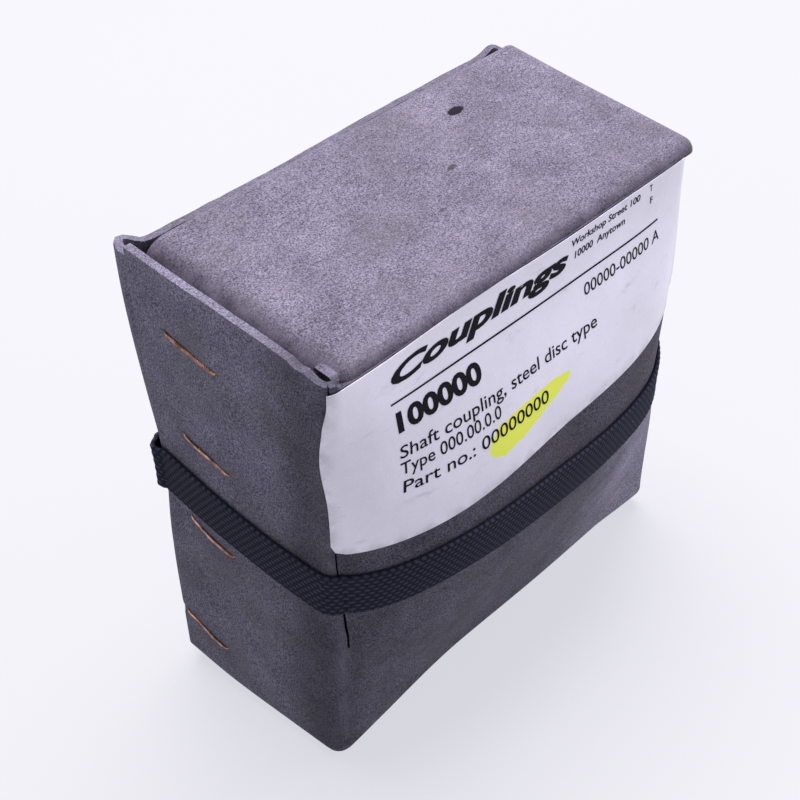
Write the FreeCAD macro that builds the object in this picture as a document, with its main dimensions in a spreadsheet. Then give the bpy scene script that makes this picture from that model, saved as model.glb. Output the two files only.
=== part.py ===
import FreeCAD, Part

import math
import os

import Sketcher
from FreeCAD import Placement, Rotation, Vector

# Packed shaft coupling: a stitched board carton, held shut by an elastic strap, with a double
# steel-disc coupling lying in a foam cradle inside it.
#
# Frame: the origin is the centre of the carton's base. +X runs along the carton towards the
# plain end, away from the stitched end. +Y points to the back, away from the address label.
# +Z is up. All sizes are in millimetres.

doc = FreeCAD.newDocument("PackedCoupling")

# ---------------------------------------------------------------- driving dimensions

SIZES = {
    # carton
    "box_length": 110.0,
    "box_depth": 50.0,
    "box_height": 110.0,
    "board": 1.8,
    "fold_radius": 4.0,
    "wall_top": 106.5,
    "lap_gap": 0.1,
    "lap_set_back": 3.0,
    "lap_flap_width": 30.0,
    "lap_flap_foot": 18.0,
    "bulge": 10.0,
    "bulge_edge": 0.3,
    "slit_width": 1.0,
    "slit_foot": 36.0,
    "fit_gap": 0.1,
    "side_gap": 0.3,
    "dust_flap": 27.0,
    "back_flap": 35.0,
    # lid
    "lid_underside": 106.8,
    "lid_left": 51.4,
    "lid_overhang": 2.3,
    "lid_edge_radius": 0.8,
    "left_ear_drop": 18.0,
    "left_ear_width": 37.0,
    "right_ear_drop": 36.0,
    "right_ear_width": 40.0,
    "ear_set_back": 5.0,
    "right_ear_set_back": 6.5,
    "tuck_drop": 15.0,
    "tuck_tilt": 16.0,
    "tuck_side_gap": 6.0,
    # wire stitches
    "stitch_crown": 14.0,
    "stitch_width": 0.9,
    "wire": 0.45,
    "stitch_leg": 3.8,
    # strap
    "strap_width": 10.0,
    "strap_thick": 1.2,
    "strap_gap": 0.8,
    "strap_height": 56.0,
    "strap_lap": 16.0,
    "strap_lap_thick": 0.9,
    # label
    "label_foot": 68.0,
    "label_thick": 0.2,
    "label_gap": 0.12,
    "label_left": 50.8,
    "label_wrap": 19.5,
    # foam
    "cradle_top": 40.0,
    "groove_gap": 0.5,
    "pad_foot": 41.0,
    "pad_top": 79.0,
    "pad_back": 22.8,
    # shaft coupling
    "axis_height": 54.0,
    "coupling_radius": 22.5,
    "barrel_radius": 16.0,
    "bore_radius": 7.0,
    "sleeve_half": 8.0,
    "sleeve_bore": 11.0,
    "flange_face": 13.0,
    "flange_back": 21.0,
    "hub_end": 42.0,
    "bolt_circle": 18.8,
    "bolt_radius": 1.5,
    "bolt_hole": 1.6,
    "thread_gap": 0.03,
    "head_radius": 2.75,
    "head_height": 3.0,
    "socket_radius": 1.45,
    "socket_depth": 1.6,
    "washer_radius": 3.3,
    "washer_thick": 0.5,
    "bush_radius": 3.4,
    "nut_radius": 3.15,
    "nut_height": 2.4,
    "pocket_radius": 4.2,
    "hub_pocket_depth": 5.0,
    "sleeve_pocket_depth": 3.5,
    "bolt_spare": 0.6,
    "sleeve_bolt_grip": 6.0,
    "pack_radius": 22.0,
    "pack_bore": 12.5,
    "pack_front": 9.5,
    "pack_back": 11.5,
    "disc_thick": 0.36,
    "disc_step": 0.41,
    "waist_radius": 5.0,
    "waist_centre": 24.0,
    "slit_half": 0.75,
    "relief_front": 23.2,
    "relief_width": 1.4,
    "relief_floor": 2.0,
    "screw_along": 34.0,
    "screw_offset": 11.2,
    "screw_radius": 2.0,
    "screw_hole": 2.1,
    "screw_length": 15.0,
    "screw_head": 3.5,
    "screw_head_height": 4.0,
    "screw_pocket": 3.9,
    "screw_seat": 6.0,
    "screw_socket": 1.75,
    "screw_socket_depth": 2.0,
}
DISC_COUNT = 5
# (Y, Z) of each crown's middle, and its tilt in degrees
STITCH_PLACES = ((7.3, 95.4, 7.5), (7.0, 70.4, 10.5), (9.0, 46.3, 13.0), (14.6, 14.3, 16.0))
BULGE_STATIONS = 5
QUARTER_TURN = 90
EIGHTH_TURN = 45
SAME_POINT = 1e-6                # two points closer than this are one
UPRIGHT = 0.99                   # least vertical share of an upright edge's direction
LONG_EDGE = 18.0                 # edges along the carton are longer than this
LEAST_CUT = 0.5                  # cubic millimetres that a pocket must take away

sheet = doc.addObject("Spreadsheet::Sheet", "Sizes")
for row, (alias, number) in enumerate(SIZES.items(), start=1):
    sheet.set(f"A{row}", alias)
    sheet.set(f"B{row}", str(number))
    sheet.setAlias(f"B{row}", alias)
doc.recompute()

nodes = []


def size(alias):
    """One number from the sheet."""
    return float(getattr(sheet, alias))


def formula(text):
    """Turn 'box_length / 2' into an expression that reads the sheet."""
    words = sorted(SIZES, key=len, reverse=True)
    for word in words:
        text = replace_word(text, word, "Sizes." + word)
    return text


def replace_word(text, word, new):
    """Replace whole words only, and none that already follow a dot."""
    pieces = []
    token = ""
    for letter in text + " ":
        if letter.isalnum() or letter in "_.":
            token += letter
            continue
        pieces.append(new if token == word else token)
        pieces.append(letter)
        token = ""
    return "".join(pieces).strip()


def bind(thing, **values):
    """Bind properties, and x, y, z of the placement, to the sheet."""
    for prop, text in values.items():
        path = ".Placement.Base." + prop if prop in ("x", "y", "z") else prop
        thing.setExpression(path, formula(text))
    return thing


def node(thing, label):
    """Name a finished sub-part."""
    thing.Label = label
    nodes.append(thing)
    return thing


# ---------------------------------------------------------------- building blocks

def block(name, length, width, height, x, y, z):
    """A box with its low corner at x, y, z."""
    box = doc.addObject("Part::Box", name)
    return bind(box, Length=length, Width=width, Height=height, x=x, y=y, z=z)


def rod(name, radius, length, start, y="0 mm", z="0 mm"):
    """A round bar along +X, from start."""
    bar = doc.addObject("Part::Cylinder", name)
    bar.Placement = Placement(Vector(), Rotation(Vector(0, 1, 0), QUARTER_TURN))
    return bind(bar, Radius=radius, Height=length, x=start, y=y, z=z)


def hexagon(name, corner_radius, length, start, y="0 mm", z="0 mm"):
    """A six-sided bar along +X, from start."""
    bar = doc.addObject("Part::Prism", name)
    bar.Polygon = 6
    bar.Placement = Placement(Vector(), Rotation(Vector(0, 1, 0), QUARTER_TURN))
    return bind(bar, Circumradius=corner_radius, Height=length, x=start, y=y, z=z)


def cross_rod(name, radius, length, x, start, z):
    """A round bar along +Y, from start."""
    bar = doc.addObject("Part::Cylinder", name)
    bar.Placement = Placement(Vector(), Rotation(Vector(1, 0, 0), -QUARTER_TURN))
    return bind(bar, Radius=radius, Height=length, x=x, y=start, z=z)


def cut(name, base, *tools):
    """Take each tool away from the base."""
    for number, tool in enumerate(tools, start=1):
        step = doc.addObject("Part::Cut", f"{name}_cut{number}")
        step.Base = base
        step.Tool = tool
        base = step
    return base


def fuse(name, *things):
    joined = doc.addObject("Part::MultiFuse", name)
    joined.Shapes = list(things)
    return joined


def group(name, things):
    """Several separate solids in one sub-part."""
    held = doc.addObject("Part::Compound", name)
    held.Links = list(things)
    return held


def origin_plane(body, role):
    """One of the body's own origin planes."""
    return next(item for item in body.Origin.OriginFeatures if item.Role == role)


def rectangle(body, name, plane, width, height, left, low):
    """A sketched rectangle with its low left corner at left, low of the plane."""
    sketch = body.newObject("Sketcher::SketchObject", name)
    sketch.AttachmentSupport = [(origin_plane(body, plane), "")]
    sketch.MapMode = "FlatFace"
    corners = (Vector(1, 1, 0), Vector(2, 1, 0), Vector(2, 2, 0), Vector(1, 2, 0))
    for index in range(4):
        sketch.addGeometry(Part.LineSegment(corners[index], corners[(index + 1) % 4]))
    for index in range(4):
        sketch.addConstraint(Sketcher.Constraint("Coincident", index, 2, (index + 1) % 4, 1))
    for index, kind in enumerate(("Horizontal", "Vertical", "Horizontal", "Vertical")):
        sketch.addConstraint(Sketcher.Constraint(kind, index))
    rules = (
        ("width", Sketcher.Constraint("DistanceX", 0, 1, 0, 2, 1.0), width),
        ("height", Sketcher.Constraint("DistanceY", 1, 1, 1, 2, 1.0), height),
        ("left", Sketcher.Constraint("DistanceX", -1, 1, 0, 1, 1.0), left),
        ("low", Sketcher.Constraint("DistanceY", -1, 1, 0, 1, 1.0), low),
    )
    for title, rule, text in rules:
        number = sketch.addConstraint(rule)
        sketch.renameConstraint(number, title)
        sketch.setExpression("Constraints." + title, formula(text))
    return sketch


def circles(body, name, plane, rings):
    """Sketched circles: each ring is (radius, across, up)."""
    sketch = body.newObject("Sketcher::SketchObject", name)
    sketch.AttachmentSupport = [(origin_plane(body, plane), "")]
    sketch.MapMode = "FlatFace"
    for index, (radius, across, up) in enumerate(rings):
        sketch.addGeometry(Part.Circle(Vector(index + 1, 1, 0), Vector(0, 0, 1), 1.0))
        rules = (
            ("radius", Sketcher.Constraint("Radius", index, 1.0), radius),
            ("across", Sketcher.Constraint("DistanceX", -1, 1, index, 3, 1.0), across),
            ("up", Sketcher.Constraint("DistanceY", -1, 1, index, 3, 1.0), up),
        )
        for title, rule, text in rules:
            number = sketch.addConstraint(rule)
            sketch.renameConstraint(number, f"{title}{index}")
            sketch.setExpression(f"Constraints.{title}{index}", formula(text))
    return sketch


def pad(body, name, sketch, length):
    feature = body.newObject("PartDesign::Pad", name)
    feature.Profile = sketch
    feature.setExpression("Length", formula(length))
    doc.recompute()
    return feature


def board_panel(label, length, width, x, y, z):
    """A flat piece of board, with its low corner at x, y, z."""
    body = doc.addObject("PartDesign::Body", label)
    outline = rectangle(body, label + "_outline", "XY_Plane", length, width, "0 mm", "0 mm")
    pad(body, label + "_board", outline, "board")
    bind(body, x=x, y=y, z=z)
    return node(body, label)


def upright_panel(label, width, height, x, y, z):
    """A piece of board that stands across the carton, with its low corner at x, y, z."""
    body = doc.addObject("PartDesign::Body", label)
    outline = rectangle(body, label + "_outline", "YZ_Plane", width, height, "0 mm", "0 mm")
    pad(body, label + "_board", outline, "board")
    bind(body, x=x, y=y, z=z)
    return node(body, label)


def round_edges(body, name, wanted, radius):
    """Fillet the edges that the test picks."""
    tip = body.Tip
    picked = [f"Edge{n}" for n, edge in enumerate(tip.Shape.Edges, start=1) if wanted(edge)]
    feature = body.newObject("PartDesign::Fillet", name)
    feature.Base = (tip, picked)
    feature.setExpression("Radius", formula(radius))
    doc.recompute()
    return feature


# ---------------------------------------------------------------- carton

HALF_LENGTH = size("box_length") / 2
HALF_DEPTH = size("box_depth") / 2
FOLD = size("fold_radius")
BOARD = size("board")


def bulge_at(height):
    """How far the front wall stands out at this height, at the middle of its length."""
    low = size("board")
    middle = (low + size("box_height")) / 2
    share = (height - middle) / (middle - low)
    return size("bulge_edge") + (size("bulge") - size("bulge_edge")) * (1 - share * share)


def front_arc(height, depth, left, right, sag):
    """An arc along the front, bowed outwards by sag."""
    middle = Vector((left + right) / 2, depth - sag, height)
    ends = (Vector(left, depth, height), Vector(right, depth, height))
    return Part.Arc(ends[0], middle, ends[1]).toShape()


def bowed_slab(near, far):
    """The stretch of front wall between the folds, from near to far out of the flat face."""
    left = -HALF_LENGTH + FOLD
    right = HALF_LENGTH - FOLD
    wires = []
    for station in range(BULGE_STATIONS):
        share = station / (BULGE_STATIONS - 1)
        height = size("board") + share * (size("box_height") - size("board"))
        sag = bulge_at(height)
        outer = front_arc(height, -HALF_DEPTH - far, left, right, sag)
        inner = front_arc(height, -HALF_DEPTH - near, left, right, sag)
        caps = [
            Part.LineSegment(outer.Vertexes[-1].Point, inner.Vertexes[-1].Point).toShape(),
            Part.LineSegment(inner.Vertexes[0].Point, outer.Vertexes[0].Point).toShape(),
        ]
        wires.append(Part.Wire(Part.__sortEdges__([outer, caps[0], inner, caps[1]])))
    return Part.makeLoft(wires, True, False)


def corner(x, y, radius, start):
    """Three points of a quarter turn about x, y, from the start angle, counter-clockwise."""
    middle = math.radians(start + EIGHTH_TURN)
    angles = (math.radians(start), middle, math.radians(start + QUARTER_TURN))
    return [Vector(x + radius * math.cos(a), y + radius * math.sin(a), 0) for a in angles]


def chain(stretches):
    """Edges through a list of points (lines) and triples (arcs)."""
    edges = []
    last = None
    for item in stretches:
        first = item[0] if isinstance(item, list) else item
        if last is not None and (last - first).Length > SAME_POINT:
            edges.append(Part.LineSegment(last, first).toShape())
        if isinstance(item, list):
            edges.append(Part.Arc(item[0], item[1], item[2]).toShape())
            last = item[2]
        else:
            last = item
    return edges


def carton_sleeve():
    """One sheet of board round four sides. The stitched end is two layers thick: the outer
    layer ends in a cut edge near the back, over a flap that is folded in from the back wall."""
    lap_x = -HALF_LENGTH + BOARD + size("lap_gap")
    lap_centre = lap_x + FOLD
    inner_fold = FOLD - BOARD
    fold_x = HALF_LENGTH - FOLD
    fold_y = HALF_DEPTH - FOLD
    lap_end = Vector(-HALF_LENGTH, HALF_DEPTH - size("lap_set_back"), 0)
    flap_end = Vector(lap_x, HALF_DEPTH - size("lap_flap_width"), 0)
    thick = Vector(BOARD, 0, 0)
    left_part = [
        lap_end,
        corner(-fold_x, -fold_y, FOLD, 180),
        corner(-fold_x, -fold_y, inner_fold, 180)[::-1],
        lap_end + thick,
        lap_end,
    ]
    right_part = [
        corner(fold_x, -fold_y, FOLD, 270),
        corner(fold_x, fold_y, FOLD, 0),
        corner(lap_centre, fold_y, FOLD, 90),
        flap_end,
        flap_end + thick,
        corner(lap_centre, fold_y, inner_fold, 90)[::-1],
        corner(fold_x, fold_y, inner_fold, 0)[::-1],
        corner(fold_x, -fold_y, inner_fold, 270)[::-1],
        corner(fold_x, -fold_y, FOLD, 270)[0],
    ]
    rise = Vector(0, 0, size("box_height") - BOARD)
    shape = bowed_slab(-BOARD, 0)
    for part in (left_part, right_part):
        wall = Part.Face(Part.Wire(chain(part))).extrude(rise)
        wall.translate(Vector(0, 0, BOARD))
        shape = shape.fuse(wall)
    over = size("box_length")
    top = Part.makeBox(2 * over, 2 * over, over)
    top.translate(Vector(-HALF_LENGTH + BOARD, -over, size("wall_top")))
    slit = Part.makeBox(size("slit_width"), FOLD + BOARD, over)
    slit.translate(Vector(-fold_x + size("fit_gap"), -HALF_DEPTH - BOARD, size("slit_foot")))
    foot_depth = size("lap_flap_width") - FOLD + size("fit_gap")
    foot = Part.makeBox(BOARD + 2 * size("lap_gap"), foot_depth, size("lap_flap_foot"))
    foot.translate(Vector(lap_x - size("lap_gap") / 2, flap_end.y - size("fit_gap"), 0))
    shape = shape.cut(top).cut(slit).cut(foot)
    return shape.removeSplitter()


def address_label():
    """A paper label on the front wall, its right-hand end wrapped round the fold."""
    near = size("label_gap")
    far = near + size("label_thick")
    fold_x = HALF_LENGTH - FOLD
    fold_y = HALF_DEPTH - FOLD
    wrap = Vector(HALF_LENGTH + far, -size("label_wrap"), 0)
    inward = Vector(near - far, 0, 0)
    round_corner = [
        corner(fold_x, -fold_y, FOLD + far, 270),
        wrap,
        wrap + inward,
        corner(fold_x, -fold_y, FOLD + near, 270)[::-1],
        corner(fold_x, -fold_y, FOLD + far, 270)[0],
    ]
    edge = Part.Face(Part.Wire(chain(round_corner))).extrude(Vector(0, 0, size("box_height") - BOARD))
    edge.translate(Vector(0, 0, BOARD))
    whole = bowed_slab(near, far).fuse(edge)
    length = size("label_left") + HALF_LENGTH + FOLD
    window = Part.makeBox(length, size("box_depth"), size("wall_top") - size("label_foot"))
    window.translate(Vector(-size("label_left"), -size("box_depth"), size("label_foot")))
    return whole.common(window).removeSplitter()


def strap_outline(gap):
    """The strap's path round the carton at its fullest height, gap away from the board."""
    fold_x = HALF_LENGTH - FOLD
    fold_y = HALF_DEPTH - FOLD
    radius = FOLD + gap
    left = Vector(-fold_x, -fold_y - radius, 0)
    right = Vector(fold_x, -fold_y - radius, 0)
    bow = [left, Vector(0, left.y - size("bulge"), 0), right]
    path = [
        corner(-fold_x, -fold_y, radius, 180),
        bow,
        corner(fold_x, -fold_y, radius, 270),
        corner(fold_x, fold_y, radius, 0),
        corner(-fold_x, fold_y, radius, 90),
        corner(-fold_x, -fold_y, radius, 180)[0],
    ]
    return Part.Face(Part.Wire(chain(path)))


def elastic_strap():
    """A closed loop of woven elastic."""
    rise = Vector(0, 0, size("strap_width"))
    outside = strap_outline(size("strap_gap") + size("strap_thick")).extrude(rise)
    inside = strap_outline(size("strap_gap")).extrude(rise)
    return outside.cut(inside)


def packing_pad():
    """A crescent of foam that fills the bow of the front wall."""
    back = -size("pad_back")
    shift = HALF_DEPTH - BOARD - size("side_gap")
    half = HALF_LENGTH - 2 * FOLD
    solid = bowed_slab(shift - HALF_DEPTH - size("box_depth"), shift - HALF_DEPTH)
    window = Part.makeBox(2 * half, size("box_depth"), size("pad_top") - size("pad_foot"))
    window.translate(Vector(-half, back - size("box_depth"), size("pad_foot")))
    return solid.common(window).removeSplitter()


def add_shape(label, maker):
    """A sub-part whose shape is worked out from the sheet in code."""
    feature = doc.addObject("Part::Feature", label)
    feature.Shape = maker()
    feature.Placement = Placement(Vector(0, 0, 0), Rotation())
    return node(feature, label)


def wire_stitches():
    """Flat copper wire staples through both layers of the stitched end."""
    staples = []
    for number, (across, up, lean) in enumerate(STITCH_PLACES, start=1):
        name = f"stitch{number}"
        crown = block(name + "_crown", "wire", "stitch_crown", "stitch_width",
                      "-wire", "-stitch_crown / 2", "-stitch_width / 2")
        legs = []
        for side, start in (("front", "-stitch_crown / 2"), ("back", "stitch_crown / 2 - stitch_width")):
            leg = block(f"{name}_{side}_leg", "stitch_leg", "stitch_width", "stitch_width",
                        "-wire / 2", start, "-stitch_width / 2")
            legs.append(leg)
        staple = fuse(name, crown, *legs)
        tilt = Rotation(Vector(1, 0, 0), lean)
        staple.Placement = Placement(Vector(-HALF_LENGTH, across, up), tilt)
        staples.append(staple)
    node(group("stitch_group", staples), "wire_stitches")


def carton():
    add_shape("carton_sleeve", carton_sleeve)
    base = board_panel("bottom_panel", "box_length", "box_depth",
                       "-box_length / 2", "-box_depth / 2", "0 mm")
    round_edges(base, "bottom_corners", is_upright, "fold_radius")
    flap_width = "box_depth - 2 * board - 2 * side_gap"
    flap_low = "-box_depth / 2 + board + side_gap"
    inner_fold = "fold_radius - board"
    left = board_panel("bottom_dust_flap_left", "dust_flap", flap_width,
                       "-box_length / 2 + 2 * board + side_gap", flap_low, "board + fit_gap")
    right = board_panel("bottom_dust_flap_right", "dust_flap", flap_width,
                        "box_length / 2 - board - side_gap - dust_flap", flap_low,
                        "board + fit_gap")
    back = board_panel("bottom_back_flap", "box_length - 4 * board - 2 * side_gap", "back_flap",
                       "-box_length / 2 + 2 * board + 2 * side_gap",
                       "box_depth / 2 - board - side_gap - back_flap", "2 * board + 2 * fit_gap")
    for flap in (left, right, back):
        round_edges(flap, flap.Name + "_corners", is_upright, inner_fold)
    wire_stitches()
    add_shape("address_label", address_label)


def is_upright(edge):
    return abs(edge.tangentAt(edge.FirstParameter).z) > UPRIGHT


def is_long_top(edge):
    """The lid's top edges along the carton."""
    box = edge.BoundBox
    return box.XLength > LONG_EDGE and box.YLength < BOARD and box.ZMin > BOARD / 2


def lid():
    """The lid folds at the front's top edge. Its left ear hangs inside the stitched end, its
    right ear outside the plain end, and its tuck flap inside the back wall."""
    depth = "box_depth - board - side_gap"
    panel = board_panel("lid_panel", "lid_left + box_length / 2 + lid_overhang", depth,
                        "-lid_left", "-box_depth / 2", "lid_underside")
    round_edges(panel, "lid_folds", is_long_top, "lid_edge_radius")
    upright_panel("lid_ear_left", "left_ear_width", "left_ear_drop", "-lid_left + side_gap",
                  "-box_depth / 2 + ear_set_back", "lid_underside - left_ear_drop")
    upright_panel("lid_ear_right", "right_ear_width", "right_ear_drop",
                  "box_length / 2 + lid_overhang - board",
                  "-box_depth / 2 + right_ear_set_back", "lid_underside - right_ear_drop")
    tuck = doc.addObject("Part::Box", "tuck")
    bind(tuck, Length="lid_left + box_length / 2 - 2 * tuck_side_gap", Width="board",
         Height="tuck_drop")
    tilt = Rotation(Vector(1, 0, 0), -(180 + size("tuck_tilt")))
    tuck.Placement = Placement(Vector(), tilt)
    bind(tuck, x="-lid_left + tuck_side_gap", y="box_depth / 2 - board - side_gap",
         z="lid_underside - board / 2")
    node(tuck, "lid_tuck_flap")


def strap():
    loop = add_shape("elastic_strap", elastic_strap)
    bind(loop, z="strap_height - strap_width / 2")
    lap = block("lap", "strap_lap", "strap_lap_thick", "strap_width", "-strap_lap / 2",
                "box_depth / 2 + strap_gap + strap_thick", "strap_height - strap_width / 2")
    node(lap, "strap_seam")


def foam():
    """The cradle holds the coupling endwise and from below."""
    low = "3 * board + 3 * fit_gap"
    body = doc.addObject("PartDesign::Body", "cradle_block")
    outline = rectangle(body, "cradle_outline", "XY_Plane", "box_length - 3 * board - 3 * side_gap",
                        "box_depth - 2 * board - 2 * side_gap", "0 mm", "0 mm")
    pad(body, "cradle_foam", outline, f"cradle_top - ({low})")
    round_edges(body, "cradle_corners", is_upright, "fold_radius")
    bind(body, x="-box_length / 2 + 2 * board + 2 * side_gap",
         y="-box_depth / 2 + board + side_gap", z=low)
    groove = rod("cradle_groove", "coupling_radius + groove_gap", "2 * hub_end + 2 * groove_gap",
                 "-hub_end - groove_gap", z="axis_height")
    node(cut("cradle", body, groove), "foam_cradle")
    add_shape("front_packing_pad", packing_pad)


# ---------------------------------------------------------------- shaft coupling

def on_axis(thing, side):
    """Place a piece made round the coupling's centre, turned end for end on side a."""
    turn = Rotation(Vector(0, 0, 1), 180 if side == "a" else 0)
    thing.Placement = Placement(Vector(0, 0, 0), turn)
    return bind(thing, z="axis_height")


HUB_BOLTS = (("0 mm", "bolt_circle"), ("0 mm", "-bolt_circle"))
SLEEVE_BOLTS = (("bolt_circle", "0 mm"), ("-bolt_circle", "0 mm"))


def clamping_hub(side):
    """A flange for the disc pack and a split barrel that clamps on the shaft."""
    name = "hub_" + side
    body = doc.addObject("PartDesign::Body", name + "_body")
    flange = circles(body, name + "_flange_circle", "YZ_Plane", [("coupling_radius", "0 mm", "0 mm")])
    flange.setExpression(".AttachmentOffset.Base.z", formula("flange_face"))
    pad(body, name + "_flange", flange, "flange_back - flange_face")
    barrel = circles(body, name + "_barrel_circle", "YZ_Plane", [("barrel_radius", "0 mm", "0 mm")])
    barrel.setExpression(".AttachmentOffset.Base.z", formula("flange_face"))
    pad(body, name + "_barrel", barrel, "hub_end - flange_face")
    return body


def pocket(body, name, sketch, offset, length):
    """Cut a sketch away, from offset along the axis, in +X."""
    before = body.Shape.Volume
    sketch.setExpression(".AttachmentOffset.Base.z", formula(offset))
    feature = body.newObject("PartDesign::Pocket", name)
    feature.Profile = sketch
    feature.Reversed = True
    feature.setExpression("Length", formula(length))
    doc.recompute()
    if body.Shape.Volume > before - LEAST_CUT:
        raise RuntimeError(name + " cuts nothing")
    return feature


def hub(side):
    body = clamping_hub(side)
    name = "hub_" + side
    whole = "hub_end - flange_face"
    bore = circles(body, name + "_bore_circle", "YZ_Plane", [("bore_radius", "0 mm", "0 mm")])
    pocket(body, name + "_bore", bore, "flange_face", whole)
    holes = circles(body, name + "_bolt_circles", "YZ_Plane",
                    [("bolt_hole", across, up) for across, up in HUB_BOLTS])
    pocket(body, name + "_bolt_holes", holes, "flange_face", "flange_back - flange_face")
    room = circles(body, name + "_pocket_circles", "YZ_Plane",
                   [("pocket_radius", across, up) for across, up in SLEEVE_BOLTS])
    pocket(body, name + "_pockets", room, "flange_face", "hub_pocket_depth")
    slit = rectangle(body, name + "_slit_outline", "YZ_Plane", "2 * slit_half", "barrel_radius",
                     "-slit_half", "bore_radius / 2")
    pocket(body, name + "_slit", slit, "relief_front", "hub_end - relief_front")
    relief = rectangle(body, name + "_relief_outline", "YZ_Plane", "2 * barrel_radius + board",
                       "barrel_radius", "-barrel_radius - board / 2", "relief_floor")
    pocket(body, name + "_relief", relief, "relief_front", "relief_width")
    hole = cross_rod(name + "_screw_hole", "screw_hole", "2 * barrel_radius", "screw_along",
                     "-barrel_radius", "screw_offset")
    seat = cross_rod(name + "_screw_seat", "screw_pocket", "barrel_radius", "screw_along",
                     "-barrel_radius - screw_seat", "screw_offset")
    finished = cut(name + "_drilled", body, hole, seat)
    node(on_axis(finished, side), name)


def centre_sleeve():
    """The ring between the two disc packs, with room for the nuts at both ends."""
    ring = rod("sleeve_ring", "coupling_radius", "2 * sleeve_half", "-sleeve_half")
    tools = [rod("sleeve_hole", "sleeve_bore", "2 * sleeve_half", "-sleeve_half")]
    for end, start in (("a", "-sleeve_half"), ("b", "sleeve_half - sleeve_pocket_depth")):
        for number, (across, up) in enumerate(HUB_BOLTS, start=1):
            tools.append(rod(f"sleeve_pocket_{end}{number}", "pocket_radius", "sleeve_pocket_depth",
                             start, across, up))
        first = "-sleeve_half" if end == "a" else "sleeve_half - sleeve_bolt_grip"
        for number, (across, up) in enumerate(SLEEVE_BOLTS, start=1):
            tools.append(rod(f"sleeve_tapped_{end}{number}", "bolt_radius + thread_gap",
                             "sleeve_bolt_grip", first, across, up))
    ring = cut("sleeve", ring, *tools)
    ring.Placement = Placement(Vector(), Rotation())
    node(bind(ring, z="axis_height"), "centre_sleeve")


def socket_bolt(name, start, length, across, up):
    """A socket head cap screw: its shank runs from start, and its head is at the far end."""
    shank = rod(name + "_shank", "bolt_radius", length, start, across, up)
    head_start = f"{start} + {length}"
    head = rod(name + "_head", "head_radius", "head_height", head_start, across, up)
    socket = hexagon(name + "_socket", "socket_radius", "socket_depth",
                     f"{head_start} + head_height - socket_depth", across, up)
    return cut(name + "_driven", fuse(name + "_blank", shank, head), socket)


def ring(name, radius, thickness, start, across, up):
    """A washer or bush round a bolt."""
    disc = rod(name + "_disc", radius, thickness, start, across, up)
    hole = rod(name + "_hole", "bolt_hole", thickness, start, across, up)
    return cut(name, disc, hole)


def nut(name, start, across, up):
    blank = hexagon(name + "_blank", "nut_radius", "nut_height", start, across, up)
    hole = rod(name + "_hole", "bolt_radius + thread_gap", "nut_height", start, across, up)
    return cut(name, blank, hole)


def fastener_nodes(side):
    """Bolts, nuts, washers and bushes of one disc pack."""
    nut_start = "pack_front - washer_thick - nut_height"
    hub_shank = "flange_back - pack_front + washer_thick + nut_height + bolt_spare"
    sleeve_shank = "pack_back + washer_thick - sleeve_half + sleeve_bolt_grip - fit_gap"
    makers = {
        "hub_bolts": (HUB_BOLTS, lambda name, y, z: socket_bolt(
            name, nut_start + " - bolt_spare", hub_shank, y, z)),
        "hub_nuts": (HUB_BOLTS, lambda name, y, z: nut(name, nut_start, y, z)),
        "hub_washers": (HUB_BOLTS, lambda name, y, z: ring(
            name, "washer_radius", "washer_thick", "pack_front - washer_thick", y, z)),
        "hub_bushes": (HUB_BOLTS, lambda name, y, z: ring(
            name, "bush_radius", "flange_face - pack_back", "pack_back", y, z)),
        "sleeve_bolts": (SLEEVE_BOLTS, lambda name, y, z: socket_bolt(
            name, "sleeve_half - sleeve_bolt_grip + fit_gap", sleeve_shank, y, z)),
        "sleeve_washers": (SLEEVE_BOLTS, lambda name, y, z: ring(
            name, "washer_radius", "washer_thick", "pack_back", y, z)),
        "sleeve_bushes": (SLEEVE_BOLTS, lambda name, y, z: ring(
            name, "bush_radius", "pack_front - sleeve_half", "sleeve_half", y, z)),
    }
    for kind, (places, make) in makers.items():
        label = f"{kind}_{side}"
        pieces = [make(f"{label}{n}", y, z) for n, (y, z) in enumerate(places, start=1)]
        node(on_axis(group(label + "_group", pieces), side), label)


def disc_pack(side):
    """Thin spring-steel discs, waisted between their four bolt holes."""
    discs = []
    for number in range(DISC_COUNT):
        name = f"disc_{side}{number + 1}"
        start = f"pack_front + {number} * disc_step"
        blank = rod(name + "_blank", "pack_radius", "disc_thick", start)
        tools = [rod(name + "_bore", "pack_bore", "disc_thick", start)]
        for spot, (across, up) in enumerate(HUB_BOLTS + SLEEVE_BOLTS, start=1):
            tools.append(rod(f"{name}_hole{spot}", "bolt_hole", "disc_thick", start, across, up))
        for spot in range(len(HUB_BOLTS + SLEEVE_BOLTS)):
            angle = f"{EIGHTH_TURN + QUARTER_TURN * spot} deg"
            tools.append(rod(f"{name}_waist{spot + 1}", "waist_radius", "disc_thick", start,
                             f"waist_centre * cos({angle})", f"waist_centre * sin({angle})"))
        discs.append(cut(name, blank, *tools))
    node(on_axis(group("pack_" + side, discs), side), "disc_pack_" + side)


def clamp_screw(side):
    """The screw that closes the hub's slit. Its head is on the -Y side of a side b hub."""
    name = "clamp_screw_" + side
    shank = cross_rod(name + "_shank", "screw_radius", "screw_length", "screw_along",
                      "-screw_seat", "screw_offset")
    head = cross_rod(name + "_head", "screw_head", "screw_head_height", "screw_along",
                     "-screw_seat - screw_head_height", "screw_offset")
    socket = doc.addObject("Part::Prism", name + "_socket")
    socket.Polygon = 6
    socket.Placement = Placement(Vector(), Rotation(Vector(1, 0, 0), -QUARTER_TURN))
    bind(socket, Circumradius="screw_socket", Height="screw_socket_depth", x="screw_along",
         y="-screw_seat - screw_head_height", z="screw_offset")
    screw = cut(name + "_driven", fuse(name + "_blank", shank, head), socket)
    node(on_axis(screw, side), name)


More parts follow.
